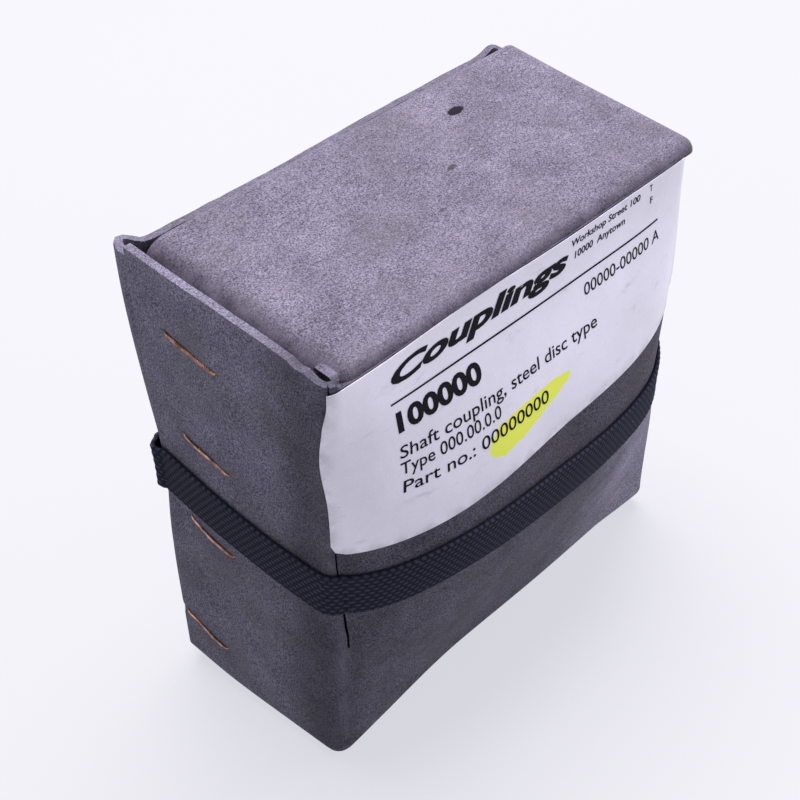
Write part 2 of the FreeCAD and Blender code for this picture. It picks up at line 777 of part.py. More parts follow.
def coupling():
    centre_sleeve()
    for side in ("a", "b"):
        hub(side)
        disc_pack(side)
        clamp_screw(side)
        fastener_nodes(side)


# ---------------------------------------------------------------- build, test and write

carton()
lid()
strap()
foam()
coupling()
doc.recompute()

for thing in doc.Objects:
    if "Invalid" in thing.State or "Error" in thing.State:
        raise RuntimeError(f"{thing.Name} did not build: {thing.State}")
for part in nodes:
    if part.Shape.isNull() or not part.Shape.isValid():
        raise RuntimeError(part.Label + " has no valid shape")

os.makedirs("parts", exist_ok=True)
for part in nodes:
    part.Shape.exportStep(f"parts/{part.Label}.step")
    box = part.Shape.BoundBox
    print(f"{part.Label:24s} solids {len(part.Shape.Solids)} volume {part.Shape.Volume:9.1f}  "
          f"x {box.XMin:7.2f} {box.XMax:7.2f}  y {box.YMin:7.2f} {box.YMax:7.2f}  "
          f"z {box.ZMin:7.2f} {box.ZMax:7.2f}")
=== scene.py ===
"""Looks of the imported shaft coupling: a worn greyboard carton, wire-stitched at one end,
labelled on the front and held shut by a woven elastic strap, with the coupling inside it.

Shapes are worked out in millimetres, in the CAD model's frame, and scaled to metres when a
mesh is made. +X runs away from the stitched end, +Y to the back, +Z up.
"""

import math

import bpy
import numpy as np
from mathutils import Matrix, Vector


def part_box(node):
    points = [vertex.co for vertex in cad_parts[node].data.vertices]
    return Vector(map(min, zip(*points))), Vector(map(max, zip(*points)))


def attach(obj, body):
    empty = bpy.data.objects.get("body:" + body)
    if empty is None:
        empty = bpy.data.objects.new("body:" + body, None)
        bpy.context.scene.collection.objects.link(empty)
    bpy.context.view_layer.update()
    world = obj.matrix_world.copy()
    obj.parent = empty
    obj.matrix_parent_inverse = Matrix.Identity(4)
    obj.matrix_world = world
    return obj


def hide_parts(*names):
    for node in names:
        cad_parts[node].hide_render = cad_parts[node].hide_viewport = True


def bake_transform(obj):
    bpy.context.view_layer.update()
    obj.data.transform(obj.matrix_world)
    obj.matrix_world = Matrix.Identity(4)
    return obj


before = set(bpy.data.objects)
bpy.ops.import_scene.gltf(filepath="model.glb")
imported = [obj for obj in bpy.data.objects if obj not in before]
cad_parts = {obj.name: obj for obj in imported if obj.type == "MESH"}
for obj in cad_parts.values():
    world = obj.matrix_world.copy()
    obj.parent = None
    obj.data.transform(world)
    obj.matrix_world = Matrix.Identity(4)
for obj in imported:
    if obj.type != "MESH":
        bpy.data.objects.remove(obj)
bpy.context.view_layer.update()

MM = 0.001
SEED = 7
random = np.random.default_rng(SEED)


def node_box(name):
    """A CAD node's box in millimetres."""
    low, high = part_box(name)
    return np.array(low) / MM, np.array(high) / MM


BASE_LOW, BASE_HIGH = node_box("bottom_panel")
LID_LOW, LID_HIGH = node_box("lid_panel")
LABEL_LOW, LABEL_HIGH = node_box("address_label")
STRAP_LOW, STRAP_HIGH = node_box("elastic_strap")

WALL_X = BASE_HIGH[0]  # the end and back walls' true planes; the carton is centred on 0, 0
WALL_Y = BASE_HIGH[1]
BOARD = BASE_HIGH[2] - BASE_LOW[2]
HEIGHT = node_box("carton_sleeve")[1][2]
CLEARANCE = 0.3  # between pieces that meet
FOLD = 4.0  # outer radius of the upright folds
LAP_GAP = 0.1  # between the stitched end's two layers
LAP_SET_BACK = 3.0  # from the back fold to the outer layer's cut edge
FLAP_WIDTH = 30.0  # how far the inner layer reaches from the back wall
WALL_TOP = LID_LOW[2] - CLEARANCE  # of the front, plain end and back walls
STRAP_MIDDLE = (STRAP_LOW[2] + STRAP_HIGH[2]) / 2
STRAP_WIDTH = STRAP_HIGH[2] - STRAP_LOW[2]
LABEL_FOOT = LABEL_LOW[2]
LABEL_TOP = LABEL_HIGH[2] - CLEARANCE
TOP_TILT = 0.140  # the back of the top stands higher than the front
TOP_GROWTH = 0.0688  # the top is a little deeper than the base
PLAN_SKEW = 0.0258  # the ends are not quite square to the front


# -------- camera and light

AZIMUTH = math.radians(-45.98)
ELEVATION = math.radians(39.79)
ROLL = math.radians(-1.49)
DISTANCE = 347.2
AIM_RIGHT = -5.17
AIM_UP = -0.37
LENS = 71.0


def make_camera():
    back = Vector((
        math.sin(AZIMUTH) * math.cos(ELEVATION),
        -math.cos(AZIMUTH) * math.cos(ELEVATION),
        math.sin(ELEVATION),
    ))
    level = Vector((math.cos(AZIMUTH), math.sin(AZIMUTH), 0))
    upright = back.cross(level)
    right = math.cos(ROLL) * level + math.sin(ROLL) * upright
    above = math.cos(ROLL) * upright - math.sin(ROLL) * level
    target = Vector((0, 0, HEIGHT / 2)) + right * AIM_RIGHT + above * AIM_UP
    data = bpy.data.cameras.new("camera")
    camera = bpy.data.objects.new("camera", data)
    bpy.context.scene.collection.objects.link(camera)
    turned = Matrix((right, above, back)).transposed()
    camera.matrix_world = Matrix.Translation((target + back * DISTANCE) * MM) @ turned.to_4x4()
    data.lens = LENS
    data.clip_start = 0.01
    data.clip_end = 20
    bpy.context.scene.camera = camera


def area_light(name, place, aim, width, power, colour):
    data = bpy.data.lights.new(name, "AREA")
    data.shape = "DISK"
    data.size = width
    data.energy = power
    data.color = colour
    lamp = bpy.data.objects.new(name, data)
    bpy.context.scene.collection.objects.link(lamp)
    lamp.location = place
    direction = Vector(aim) - Vector(place)
    lamp.rotation_mode = "QUATERNION"
    lamp.rotation_quaternion = direction.to_track_quat("-Z", "Y")


SKY_COLOUR = (0.88, 0.87, 1.0, 1)
SKY_STRENGTH = 0.42


def make_lights():
    area_light("key", place=(0.22, 0.30, 1.15), aim=(0, 0, 0.06), width=1.0, power=26.0,
               colour=(0.98, 0.96, 1.0))
    area_light("side", place=(0.95, -0.42, 0.25), aim=(0, 0, 0.05), width=0.5, power=4.2,
               colour=(0.96, 0.94, 1.0))
    world = bpy.data.worlds.new("studio")
    bpy.context.scene.world = world
    world.use_nodes = True
    sky = world.node_tree.nodes["Background"]
    sky.inputs["Color"].default_value = SKY_COLOUR
    sky.inputs["Strength"].default_value = SKY_STRENGTH
    bpy.context.scene.view_settings.view_transform = "Standard"


# -------- shader helpers

class Shader:
    """A small builder for one procedural material."""

    def __init__(self, name):
        self.material = bpy.data.materials.new(name)
        self.material.use_nodes = True
        self.nodes = self.material.node_tree.nodes
        self.links = self.material.node_tree.links
        self.surface = self.nodes["Principled BSDF"]

    def add(self, kind, **settings):
        item = self.nodes.new(kind)
        for key, value in settings.items():
            setattr(item, key, value)
        return item

    def feed(self, socket, value):
        """value is an output, a number or a colour."""
        if isinstance(value, (int, float)):
            socket.default_value = value
        elif isinstance(value, tuple):
            socket.default_value = (*value, 1)
        else:
            self.links.new(value, socket)

    def vector(self, operation, first, second):
        """first is an output, second three plain numbers."""
        item = self.add("ShaderNodeVectorMath", operation=operation)
        self.links.new(first, item.inputs[0])
        item.inputs[1].default_value = second
        return item.outputs[0]

    def place(self, stretch=(1, 1, 1)):
        """Coordinates in the object's own space, in metres, stretched along each axis."""
        return self.vector("MULTIPLY", self.add("ShaderNodeTexCoord").outputs["Object"], stretch)

    def noise(self, vector, scale, detail=3.0, rough=0.55):
        item = self.add("ShaderNodeTexNoise")
        self.links.new(vector, item.inputs["Vector"])
        item.inputs["Scale"].default_value = scale
        item.inputs["Detail"].default_value = detail
        item.inputs["Roughness"].default_value = rough
        return item.outputs["Fac"]

    def ramp(self, value, *stops):
        """A colour ramp: stops are (position, level) or (position, (r, g, b))."""
        item = self.add("ShaderNodeValToRGB")
        self.links.new(value, item.inputs["Fac"])
        ramp = item.color_ramp
        while len(ramp.elements) < len(stops):
            ramp.elements.new(0.5)
        for element, (position, level) in zip(ramp.elements, stops):
            rgb = (level,) * 3 if isinstance(level, (int, float)) else level
            element.position = position
            element.color = (*rgb, 1)
        return item.outputs["Color"]

    def mix(self, factor, first, second, blend="MIX"):
        item = self.add("ShaderNodeMix", data_type="RGBA", blend_type=blend)
        for index, value in ((0, factor), (6, first), (7, second)):
            self.feed(item.inputs[index], value)
        return item.outputs[2]

    def times(self, first, second):
        return self.mix(1.0, first, second, "MULTIPLY")

    def patches(self, vector, scale, detail, rough, *stops):
        """Noise passed through a ramp."""
        return self.ramp(self.noise(vector, scale, detail, rough), *stops)

    def math(self, operation, first, second):
        item = self.add("ShaderNodeMath", operation=operation)
        self.feed(item.inputs[0], first)
        self.feed(item.inputs[1], second)
        return item.outputs[0]

    def attribute(self, name):
        return self.add("ShaderNodeAttribute", attribute_name=name).outputs["Fac"]

    def bump(self, height, distance, strength, under=None):
        item = self.add("ShaderNodeBump")
        self.links.new(height, item.inputs["Height"])
        item.inputs["Distance"].default_value = distance
        item.inputs["Strength"].default_value = strength
        if under is not None:
            self.links.new(under, item.inputs["Normal"])
        return item.outputs["Normal"]

    def finish(self, colour, rough, normal, **plain):
        sockets = {"Base_Color": colour, "Roughness": rough, "Normal": normal, **plain}
        for key, value in sockets.items():
            if value is not None:
                self.feed(self.surface.inputs[key.replace("_", " ")], value)
        return self.material


SPOT_FRAY = 0.3  # how much noise frays a spot's edge


def spot(look, centre, radii, soft):
    """1 inside an ellipsoid round centre, with a ragged edge, 0 outside. In metres."""
    where = look.add("ShaderNodeTexCoord").outputs["Object"]
    scaled = look.vector("DIVIDE", look.vector("SUBTRACT", where, centre), radii)
    length = look.add("ShaderNodeVectorMath", operation="LENGTH")
    look.links.new(scaled, length.inputs[0])
    half = look.math("MULTIPLY", length.outputs["Value"], 0.5)
    fray = look.math("MULTIPLY", look.noise(where, 900), SPOT_FRAY)
    limit = 0.5 + SPOT_FRAY / 2
    return look.ramp(look.math("ADD", half, fray), (limit - soft / 2, 1.0),
                     (limit + soft / 2, 0.0))


# -------- materials

BOARD_COLOUR = (0.114, 0.107, 0.144)
# The lid is the same board as the walls, painted lighter because its top faces the light.
LIT_LID_COLOUR = (0.148, 0.132, 0.178)
DARK_FLECK = (0.03, 0.027, 0.035)
INK_STAIN = (0.012, 0.010, 0.016)
PAPER = (0.82, 0.80, 0.90)
PAPER_SMUDGE = (0.36, 0.35, 0.42)
PAPER_DIRT = (0.30, 0.27, 0.30)
FELT_PEN = (0.80, 0.86, 0.045)


def shade(colour, amount):
    return tuple(amount * channel for channel in colour)


def greyboard(name, base, spots=()):
    """Pressed board from recycled fibre: mottled, faintly streaked, with pale and dark flecks.
    Where it is painted darker as shade, painted lighter as light, or rubbed pale is in the mesh. The
    spots are ink stains."""
    look = Shader(name)
    even = look.place()
    streaked = look.place((0.16, 1, 1))
    mottle = look.patches(even, 95, 5, 0.65, (0.3, 0.74), (0.7, 1.24))
    streak = look.patches(streaked, 900, 3, 0.6, (0.3, 0.90), (0.7, 1.09))
    grain = look.patches(even, 2800, 3, 0.75, (0.36, 0.26), (0.64, 1.80))
    colour = look.times(look.times(look.times(base, mottle), streak), grain)
    warm = look.patches(even, 70, 2, 0.55, (0.42, 0.0), (0.75, 0.40))
    colour = look.mix(warm, colour, shade((base[0], base[1], base[0]), 0.9))
    pale = look.patches(look.place((0.7, 1, 1)), 2100, 2, 0.4, (0.64, 0.0), (0.72, 0.65))
    colour = look.mix(pale, colour, shade(base, 2.1))
    dark = look.patches(look.place((1, 0.7, 1)), 1900, 2, 0.4, (0.68, 0.0), (0.76, 0.6))
    colour = look.mix(dark, colour, DARK_FLECK)
    # Painted shade and painted light from the mesh: shaded darkens the colour, brightened lightens it.
    soiled = look.ramp(look.attribute("soil"), (0.0, 1.0), (1.0, 0.25))
    dusted = look.math("ADD", look.attribute("dust"), 1.0)
    colour = look.times(look.times(colour, soiled), dusted)
    rubbed = look.math("MULTIPLY", look.attribute("wear"),
                       look.patches(even, 260, 4, 0.65, (0.35, 0.1), (0.65, 1.0)))
    colour = look.mix(rubbed, colour, shade(base, 1.7))
    for centre, radii, strength in spots:
        inked = look.math("MULTIPLY", spot(look, centre, radii, 0.06), strength)
        colour = look.mix(inked, colour, INK_STAIN)
    fine = look.bump(look.noise(even, 2300, 4, 0.7), 0.00012, 0.55)
    normal = look.bump(look.noise(streaked, 500), 0.0002, 0.35, fine)
    rough = look.patches(even, 300, 2, 0.55, (0.3, 0.80), (0.7, 0.93))
    return look.finish(colour, rough, normal, Specular_IOR_Level=0.15)


def board_edge():
    """The cut edge of the board: layered and furred, and darker than its face."""
    look = Shader("board_cut_edge")
    fibre = look.noise(look.place(), 1700, 5, 0.8)
    colour = look.ramp(fibre, (0.25, (0.025, 0.024, 0.031)), (0.5, (0.048, 0.045, 0.058)),
                       (0.75, (0.105, 0.099, 0.121)))
    normal = look.bump(fibre, 0.0003, 0.8)
    return look.finish(colour, 0.95, normal, Specular_IOR_Level=0.15)


def label_paper():
    """Slightly dirty white paper. The felt-pen mark and the dirt at its edges are where the
    label's mesh says they are."""
    look = Shader("label_paper")
    even = look.place()
    stain = look.patches(even, 38, 4, 0.6, (0.35, 0.90), (0.65, 1.03))
    fibre = look.patches(even, 2600, 3, 0.55, (0.3, 0.96), (0.7, 1.03))
    colour = look.times(look.times(PAPER, stain), fibre)
    smudge = look.patches(look.place((1, 1, 2.4)), 120, 5, 0.7, (0.60, 0.0), (0.78, 0.5))
    colour = look.mix(smudge, colour, PAPER_SMUDGE)
    dirt = look.math("MULTIPLY", look.attribute("wear"),
                     look.patches(even, 330, 4, 0.55, (0.35, 0.0), (0.6, 0.4)))
    colour = look.mix(dirt, colour, PAPER_DIRT)
    uneven = look.math("ADD", look.attribute("marker"),
                       look.patches(even, 300, 4, 0.7, (0.3, 0.0), (0.7, 0.45)))
    colour = look.mix(look.ramp(uneven, (0.52, 0.0), (0.80, 0.93)), colour, FELT_PEN)
    crease = look.bump(look.noise(look.place((1, 1, 0.5)), 90), 0.0006, 0.22)
    normal = look.bump(look.noise(even, 1800), 0.00004, 0.4, crease)
    return look.finish(colour, 0.62, normal, Specular_IOR_Level=0.35)


def printing_ink():
    look = Shader("printing_ink")
    toner = look.noise(look.place(), 2400, 3, 0.7)
    colour = look.ramp(toner, (0.35, (0.003, 0.003, 0.005)), (0.75, (0.014, 0.013, 0.020)))
    return look.finish(colour, 0.75, look.bump(toner, 0.00002, 0.5), Specular_IOR_Level=0.1)


def copper_wire():
    look = Shader("copper_wire")
    drawn = look.noise(look.place((6, 0.5, 1)), 900, 3, 0.6)
    colour = look.ramp(drawn, (0.3, (0.16, 0.065, 0.045)), (0.5, (0.42, 0.20, 0.13)),
                       (0.75, (0.86, 0.56, 0.42)))
    tarnish = look.patches(look.place(), 420, 3, 0.55, (0.42, 0.0), (0.62, 0.8))
    colour = look.mix(tarnish, colour, (0.07, 0.032, 0.026))
    rough = look.ramp(drawn, (0.3, 0.38), (0.7, 0.18))
    return look.finish(colour, rough, look.bump(drawn, 0.00005, 0.5), Metallic=1.0)


def woven_elastic():
    """Dark navy yarn. The weave itself is in the mesh; this adds the twist of the yarn."""
    look = Shader("woven_elastic")
    yarn = look.noise(look.place((1, 1, 3)), 1500, 3, 0.7)
    worn = look.ramp(look.attribute("crown"), (0.45, 0.0), (1.0, 0.85))
    colour = look.ramp(yarn, (0.3, (0.006, 0.006, 0.013)), (0.7, (0.018, 0.018, 0.036)))
    colour = look.mix(worn, colour, (0.058, 0.057, 0.092))
    lint = look.patches(look.place(), 800, 2, 0.3, (0.76, 0.0), (0.80, 0.5))
    colour = look.mix(lint, colour, (0.12, 0.115, 0.16))
    normal = look.bump(yarn, 0.00012, 0.6)
    return look.finish(colour, 0.85, normal, Specular_IOR_Level=0.12)


def packing_foam():
    """Cut polyethylene foam: a crackle of small closed cells."""
    look = Shader("packing_foam")
    cells = look.add("ShaderNodeTexVoronoi", feature="DISTANCE_TO_EDGE")
    look.links.new(look.place(), cells.inputs["Vector"])
    cells.inputs["Scale"].default_value = 780
    wall = look.ramp(cells.outputs["Distance"], (0.02, 1.0), (0.20, 0.0))
    tone = look.patches(look.place(), 90, 3, 0.55, (0.3, (0.030, 0.030, 0.034)),
                          (0.7, (0.052, 0.052, 0.058)))
    colour = look.mix(wall, tone, (0.085, 0.085, 0.095))
    return look.finish(colour, 0.9, look.bump(wall, 0.0003, 0.8))


def turned_metal(name, dark, light, rough_low, rough_high, ring_scale=2600):
    """Lathe-turned metal: fine rings across the axis, and a little handling."""
    look = Shader(name)
    rings = look.noise(look.place((1, 0.02, 0.02)), ring_scale, 2, 0.5)
    handled = look.noise(look.place(), 110, 4, 0.6)
    colour = look.mix(look.ramp(handled, (0.3, 0.0), (0.75, 1.0)), light, dark)
    rough = look.ramp(handled, (0.3, rough_low), (0.75, rough_high))
    return look.finish(colour, rough, look.bump(rings, 0.00003, 0.5), Metallic=1.0)


def rolled_steel():
    look = Shader("rolled_spring_steel")
    lines = look.noise(look.place((1, 0.05, 1)), 1800, 3, 0.6)
    colour = look.ramp(lines, (0.3, (0.44, 0.44, 0.46)), (0.7, (0.62, 0.62, 0.64)))
    rough = look.ramp(lines, (0.3, 0.22), (0.7, 0.36))
    return look.finish(colour, rough, look.bump(lines, 0.00002, 0.4), Metallic=1.0)


def floor_look():
    look = Shader("floor")
    colour = look.patches(look.place(), 3, 2, 0.55, (0.3, (0.124, 0.121, 0.116)),
                            (0.7, (0.130, 0.127, 0.122)))
    return look.finish(colour, 0.8, None, Emission_Color=(0.92, 0.92, 1.0),
                       Emission_Strength=0.69)


LID_SPOTS = (  # centre and radii in metres, and strength
    ((0.0260, 0.0138, 0.1100), (0.0022, 0.0012, 0.006), 1.0),
    ((0.0107, 0.0012, 0.1095), (0.0013, 0.0006, 0.006), 0.6),
    ((-0.0008, -0.0066, 0.1090), (0.0012, 0.0006, 0.006), 0.45),
)

LOOKS = {
    "board": greyboard("worn_greyboard", BOARD_COLOUR),
    # The lid's copy of the board, painted lighter for the light falling on its top.
    "lid": greyboard("worn_greyboard_lid_painted_light", LIT_LID_COLOUR, LID_SPOTS),
    "edge": board_edge(),
    "paper": label_paper(),
    "ink": printing_ink(),
    "copper": copper_wire(),
    "elastic": woven_elastic(),
    "thread": woven_elastic(),
    "foam": packing_foam(),
    "aluminium": turned_metal("turned_aluminium", (0.52, 0.52, 0.54), (0.74, 0.75, 0.77), 0.24, 0.42),
    "zinc": turned_metal("zinc_plate", (0.42, 0.43, 0.45), (0.62, 0.63, 0.66), 0.28, 0.45, 1500),
    "black_steel": turned_metal("blackened_steel", (0.03, 0.03, 0.033), (0.07, 0.07, 0.075), 0.35,
                                0.55, 1500),
    "spring": rolled_steel(),
    "floor": floor_look(),
}


# -------- mesh helpers

def link_object(name, mesh):
    made = bpy.data.objects.new(name, mesh)
    bpy.context.scene.collection.objects.link(made)
    return made


def grid_faces(rows, columns, wrap_rows=False, wrap_columns=False, skip=None):
    """Quads over a grid of points, numbered row by row. skip marks the quads left out."""
    faces = []
    for row in range(rows if wrap_rows else rows - 1):
        for column in range(columns if wrap_columns else columns - 1):
            if skip is not None and skip[row, column]:
                continue
            next_row = (row + 1) % rows
            next_column = (column + 1) % columns
            faces.append((row * columns + column, row * columns + next_column,
                          next_row * columns + next_column, next_row * columns + column))
    return faces


def make_piece(name, points, faces, smooth=True, **attributes):
    """points in millimetres; attributes are one number for each point."""
    mesh = bpy.data.meshes.new(name)
    flat = points.reshape(-1, 3) * MM
    used = sorted({index for face in faces for index in face})
    new_index = {old: new for new, old in enumerate(used)}
    mesh.from_pydata(flat[used].tolist(), [], [tuple(new_index[i] for i in face) for face in faces])
    for key, values in attributes.items():
        layer = mesh.attributes.new(key, "FLOAT", "POINT")
        layer.data.foreach_set("value", np.asarray(values, dtype=np.float32).ravel()[used])
    if smooth:
        smooth_faces(mesh)
    mesh.update()
    return link_object(name, mesh)


def smooth_faces(mesh):
    mesh.polygons.foreach_set("use_smooth", [True] * len(mesh.polygons))


def evaluated_mesh(piece):
    """A piece's mesh with its modifiers applied."""
    graph = bpy.context.evaluated_depsgraph_get()
    return bpy.data.meshes.new_from_object(piece.evaluated_get(graph))


def apply_modifiers(piece):
    mesh = evaluated_mesh(piece)
    piece.modifiers.clear()
    piece.data = mesh


def thicken(piece, thickness, rim_slot=0):
    """Give a sheet its thickness inwards, and apply it."""
    modifier = piece.modifiers.new("thickness", "SOLIDIFY")
    modifier.thickness = thickness * MM
    modifier.offset = -1
    modifier.use_even_offset = False
    modifier.material_offset_rim = rim_slot
    apply_modifiers(piece)
    sharpen(piece)


def sharpen(piece, angle=35):
    """Smooth shading with crisp edges where faces meet at more than the angle."""
    smooth_faces(piece.data)
    piece.data.set_sharp_from_angle(angle=math.radians(angle))


def dress(piece, *looks):
    piece.data.materials.clear()
    for look in looks:
        piece.data.materials.append(LOOKS[look])


def finish_piece(piece, body, slot, looks, *replaced):
    dress(piece, *looks)
    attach(piece, body)
    if replaced:
        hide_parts(*replaced)


def board_sheet(name, grid, thickness, face="board", faces=None, **worn):
    """A sheet of board from a grid of points on its outer face, thickened inwards, with its
    own material on the cut edge."""
    # The values in worn are given for each point: rubbed wear, and painted shade and painted light on
    # the board's colour.
    faces = faces or grid_faces(*grid.shape[:2])
    piece = make_piece(name, grid, faces, **worn)
    dress(piece, face, "edge")
    thicken(piece, thickness, rim_slot=1)
    return piece


def board_piece(name, body, node, grid, thickness, face="board", faces=None, **worn):
    piece = board_sheet(name, grid, thickness, face, faces, **worn)
    finish_piece(piece, body, "greyboard", (face, "edge"), node)


def joined(blocks):
    """One array of points and one list of faces from several of each."""
    points = np.concatenate([block.reshape(-1, 3) for block, _ in blocks])
    starts = np.cumsum([0] + [block.size // 3 for block, _ in blocks]).tolist()
    faces = [tuple(start + index for index in face)
             for (_, shapes), start in zip(blocks, starts) for face in shapes]
    return points, faces


def fade(distance, width):
    """1 at no distance, and next to nothing at twice the width."""
    return np.exp(-(distance / width) ** 2)


def dent(distance_squared, width):
    return np.exp(-distance_squared / (2 * width * width))


def ease(value):
    """0 below 0, 1 above 1, and a smooth rise between."""
    value = np.clip(value, 0, 1)
    return value * value * (3 - 2 * value)


# -------- the carton's surface

class Outline:
    """A path in plan made of straight stretches and turns, with its outward direction."""

    def __init__(self, stretches):
        self.stretches = stretches
        self.lengths = [self.length_of(item) for item in stretches]
        self.starts = np.concatenate([[0], np.cumsum(self.lengths)])
        self.total = self.starts[-1]

    @staticmethod
    def length_of(item):
        if item[0] == "line":
            return math.dist(item[1], item[2])
        return item[2] * abs(item[4] - item[3])

    def at(self, along):
        """x, y and outward direction at each distance along the path."""
        along = np.asarray(along, dtype=float)
        found = np.zeros(along.shape + (4,))
        number = np.searchsorted(self.starts, along, side="right") - 1
        number = np.clip(number, 0, len(self.stretches) - 1)
        for index, item in enumerate(self.stretches):
            here = number == index
            share = (along[here] - self.starts[index]) / self.lengths[index]
            if item[0] == "line":
                first, second = np.array(item[1]), np.array(item[2])
                step = (second - first) / self.lengths[index]
                place = first + share[:, None] * (second - first)
                out = np.tile([step[1], -step[0]], (len(share), 1))
            else:
                angle = item[3] + share * (item[4] - item[3])
                out = np.stack([np.cos(angle), np.sin(angle)], axis=1)
                place = np.array(item[1]) + item[2] * out
            found[here] = np.concatenate([place, out], axis=1)
        return np.moveaxis(found, -1, 0)


FOLD_X = WALL_X - FOLD
FOLD_Y = WALL_Y - FOLD
QUARTER = math.pi / 2


def turn(x, y, radius, quarter):
    return ("turn", (x, y), radius, quarter * QUARTER, (quarter + 1) * QUARTER)


ROUND_THE_FRONT = [
    turn(-FOLD_X, -FOLD_Y, FOLD, 2),
    ("line", (-FOLD_X, -WALL_Y), (FOLD_X, -WALL_Y)),
    turn(FOLD_X, -FOLD_Y, FOLD, 3),
    ("line", (WALL_X, -FOLD_Y), (WALL_X, FOLD_Y)),
    turn(FOLD_X, FOLD_Y, FOLD, 0),
]  # from the front left fold to the back right one
FLAP_X = -WALL_X + BOARD + LAP_GAP

# from the outer layer's cut edge, round the front, to the end of the flap inside it
SLEEVE = Outline([
    ("line", (-WALL_X, WALL_Y - LAP_SET_BACK), (-WALL_X, -FOLD_Y)),
    *ROUND_THE_FRONT,
    ("line", (FOLD_X, WALL_Y), (FLAP_X + FOLD, WALL_Y)),
    turn(FLAP_X + FOLD, FOLD_Y, FOLD, 1),
    ("line", (FLAP_X, FOLD_Y), (FLAP_X, WALL_Y - FLAP_WIDTH)),
])
# distances along it where the flat stretches start and stop
LAP_STOP, FRONT_START, FRONT_STOP, PLAIN_START = SLEEVE.starts[1:5]
BACK_START, BACK_STOP, FLAP_START = SLEEVE.starts[6:9]

# once round the carton, for the strap
LOOP = Outline([
    ("line", (-WALL_X, FOLD_Y), (-WALL_X, -FOLD_Y)),
    *ROUND_THE_FRONT,
    ("line", (FOLD_X, WALL_Y), (-FOLD_X, WALL_Y)),
    turn(-FOLD_X, FOLD_Y, FOLD, 1),
])

# (Y, Z) of each crown's middle, and its tilt in degrees
STITCHES = ((7.3, 95.4, 7.5), (7.0, 70.4, 10.5), (9.0, 46.3, 13.0), (14.6, 14.3, 16.0))
STITCH_LENGTH = 14.0
STITCH_DENT = 0.45  # depth of the board's dimple at each end of a crown
STITCH_DENT_WIDTH = 0.8

BULGE = 11.0  # of the front wall
BULGE_RISE = 1.083  # over 1 puts the fullest part above half height
BULGE_SHARPNESS = 1.8
BACK_BULGE = 1.2
END_BULGE = 0.5
# shallow waves in the board: height, then length / 2 pi in x, y and z, and phase
RIPPLES = ((0.22, 13.0, math.inf, 19.0, 0.0), (0.16, math.inf, 9.0, -14.0, 1.3),
           (0.12, 7.5, math.inf, -8.5, 0.6))
RIPPLE_START = 8.0  # they reach their full height this far up
# (x, y, depth) of the upright folds where the strap has drawn them in
PINCHES = ((WALL_X, -WALL_Y, 3.8), (WALL_X, WALL_Y, 1.6),
           (-WALL_X, -WALL_Y, 0.5), (-WALL_X, WALL_Y, 0.9))
PINCH_MIDDLE = 54.0
PINCH_SPREAD = 13.0  # up and down
PINCH_REACH = 8.5  # round the fold
LAP_FOOT = 16.0  # the back left fold lies closer in below this height
KNUCKLE_LOW = 1.4  # how far that fold stands out up to half height
KNUCKLE_MORE = 1.5  # what is added to it by the top
FRONT_TUCK = 2.2  # how far the front wall's foot is drawn in
TUCK_TOP = 30.0
FOOT_ROUND = 4.0
TUCKED_FOOT_ROUND = 2.5  # added to it where the foot is tucked in
# (x, y, lift) of the crushed bottom corners
CRUSHED = ((-WALL_X, WALL_Y, 2.2), (WALL_X, -WALL_Y, 2.0))
CRUSH_REACH = 8.0
CRUSH_TOP = 16.0


def strap_pinch(x, y, z):
    """How far the strap has drawn the upright folds in."""
    drawn = 0
    for corner_x, corner_y, depth in PINCHES:
        near = dent((x - corner_x) ** 2 + (y - corner_y) ** 2, PINCH_REACH)
        drawn = drawn + depth * near * fade(z - PINCH_MIDDLE, PINCH_SPREAD)
    return drawn


def front_tuck(x):
    """Where along the front the wall's foot is tucked in: little at the left end, fully in
    the middle, and less again at the right end. 0 to 1."""
    return ease((x + WALL_X + 8) / 50) * (1 - 0.6 * ease((x - 35) / 20))


def ripple(x, y, z):
    waves = sum(height * np.sin(x / run + y / depth + z / rise + phase)
                for height, run, depth, rise, phase in RIPPLES)
    return waves * ease(z / RIPPLE_START)


def lap_knuckle(x, y, out_x, out_y, z):
    """How far the back left fold stands out, where the two layers meet."""
    knuckle = KNUCKLE_LOW + KNUCKLE_MORE * ease((z - 50) / 55)
    knuckle = knuckle * np.clip(-2 * out_x * out_y, 0, 1) * (x < 0) * (y > 0)
    return knuckle * (0.15 + 0.85 * ease((z - LAP_FOOT) / 2.0))


def swell(x, y, out_x, out_y, z):
    """How far the worn board stands out from its true plane."""
    front = np.clip(-out_y, 0, 1) ** 2
    back = np.clip(out_y, 0, 1) ** 2
    end = np.clip(np.abs(out_x), 0, 1) ** 2
    along = np.clip(1 - np.abs(x / (FOLD_X + 1)) ** 3, 0, 1) ** 0.8
    across = np.clip(1 - (y / FOLD_Y) ** 2, 0, 1)
    bow = np.sin(math.pi * np.clip(z / HEIGHT, 0, 1) ** BULGE_RISE)
    offset = BULGE * front * along * bow ** BULGE_SHARPNESS
    offset += BACK_BULGE * back * along * bow
    offset += END_BULGE * end * across * bow
    offset += ripple(x, y, z)
    offset -= strap_pinch(x, y, z)
    offset += lap_knuckle(x, y, out_x, out_y, z)
    tucked = front * front_tuck(x)
    offset -= FRONT_TUCK * tucked * np.clip(1 - z / TUCK_TOP, 0, 1) ** 1.5
    foot = FOOT_ROUND + TUCKED_FOOT_ROUND * tucked
    low = np.clip(foot - z, 0, foot)
    offset -= foot - np.sqrt(foot * foot - low * low)
    stitched = np.clip(-out_x, 0, 1) ** 4
    for centre_y, centre_z, lean in STITCHES:
        tilt = math.radians(lean)
        for side in (-0.5, 0.5):
            end_y = centre_y + side * STITCH_LENGTH * math.cos(tilt)
            end_z = centre_z + side * STITCH_LENGTH * math.sin(tilt)
            near = dent((y - end_y) ** 2 + (z - end_z) ** 2, STITCH_DENT_WIDTH)
            offset -= STITCH_DENT * stitched * near
    return offset


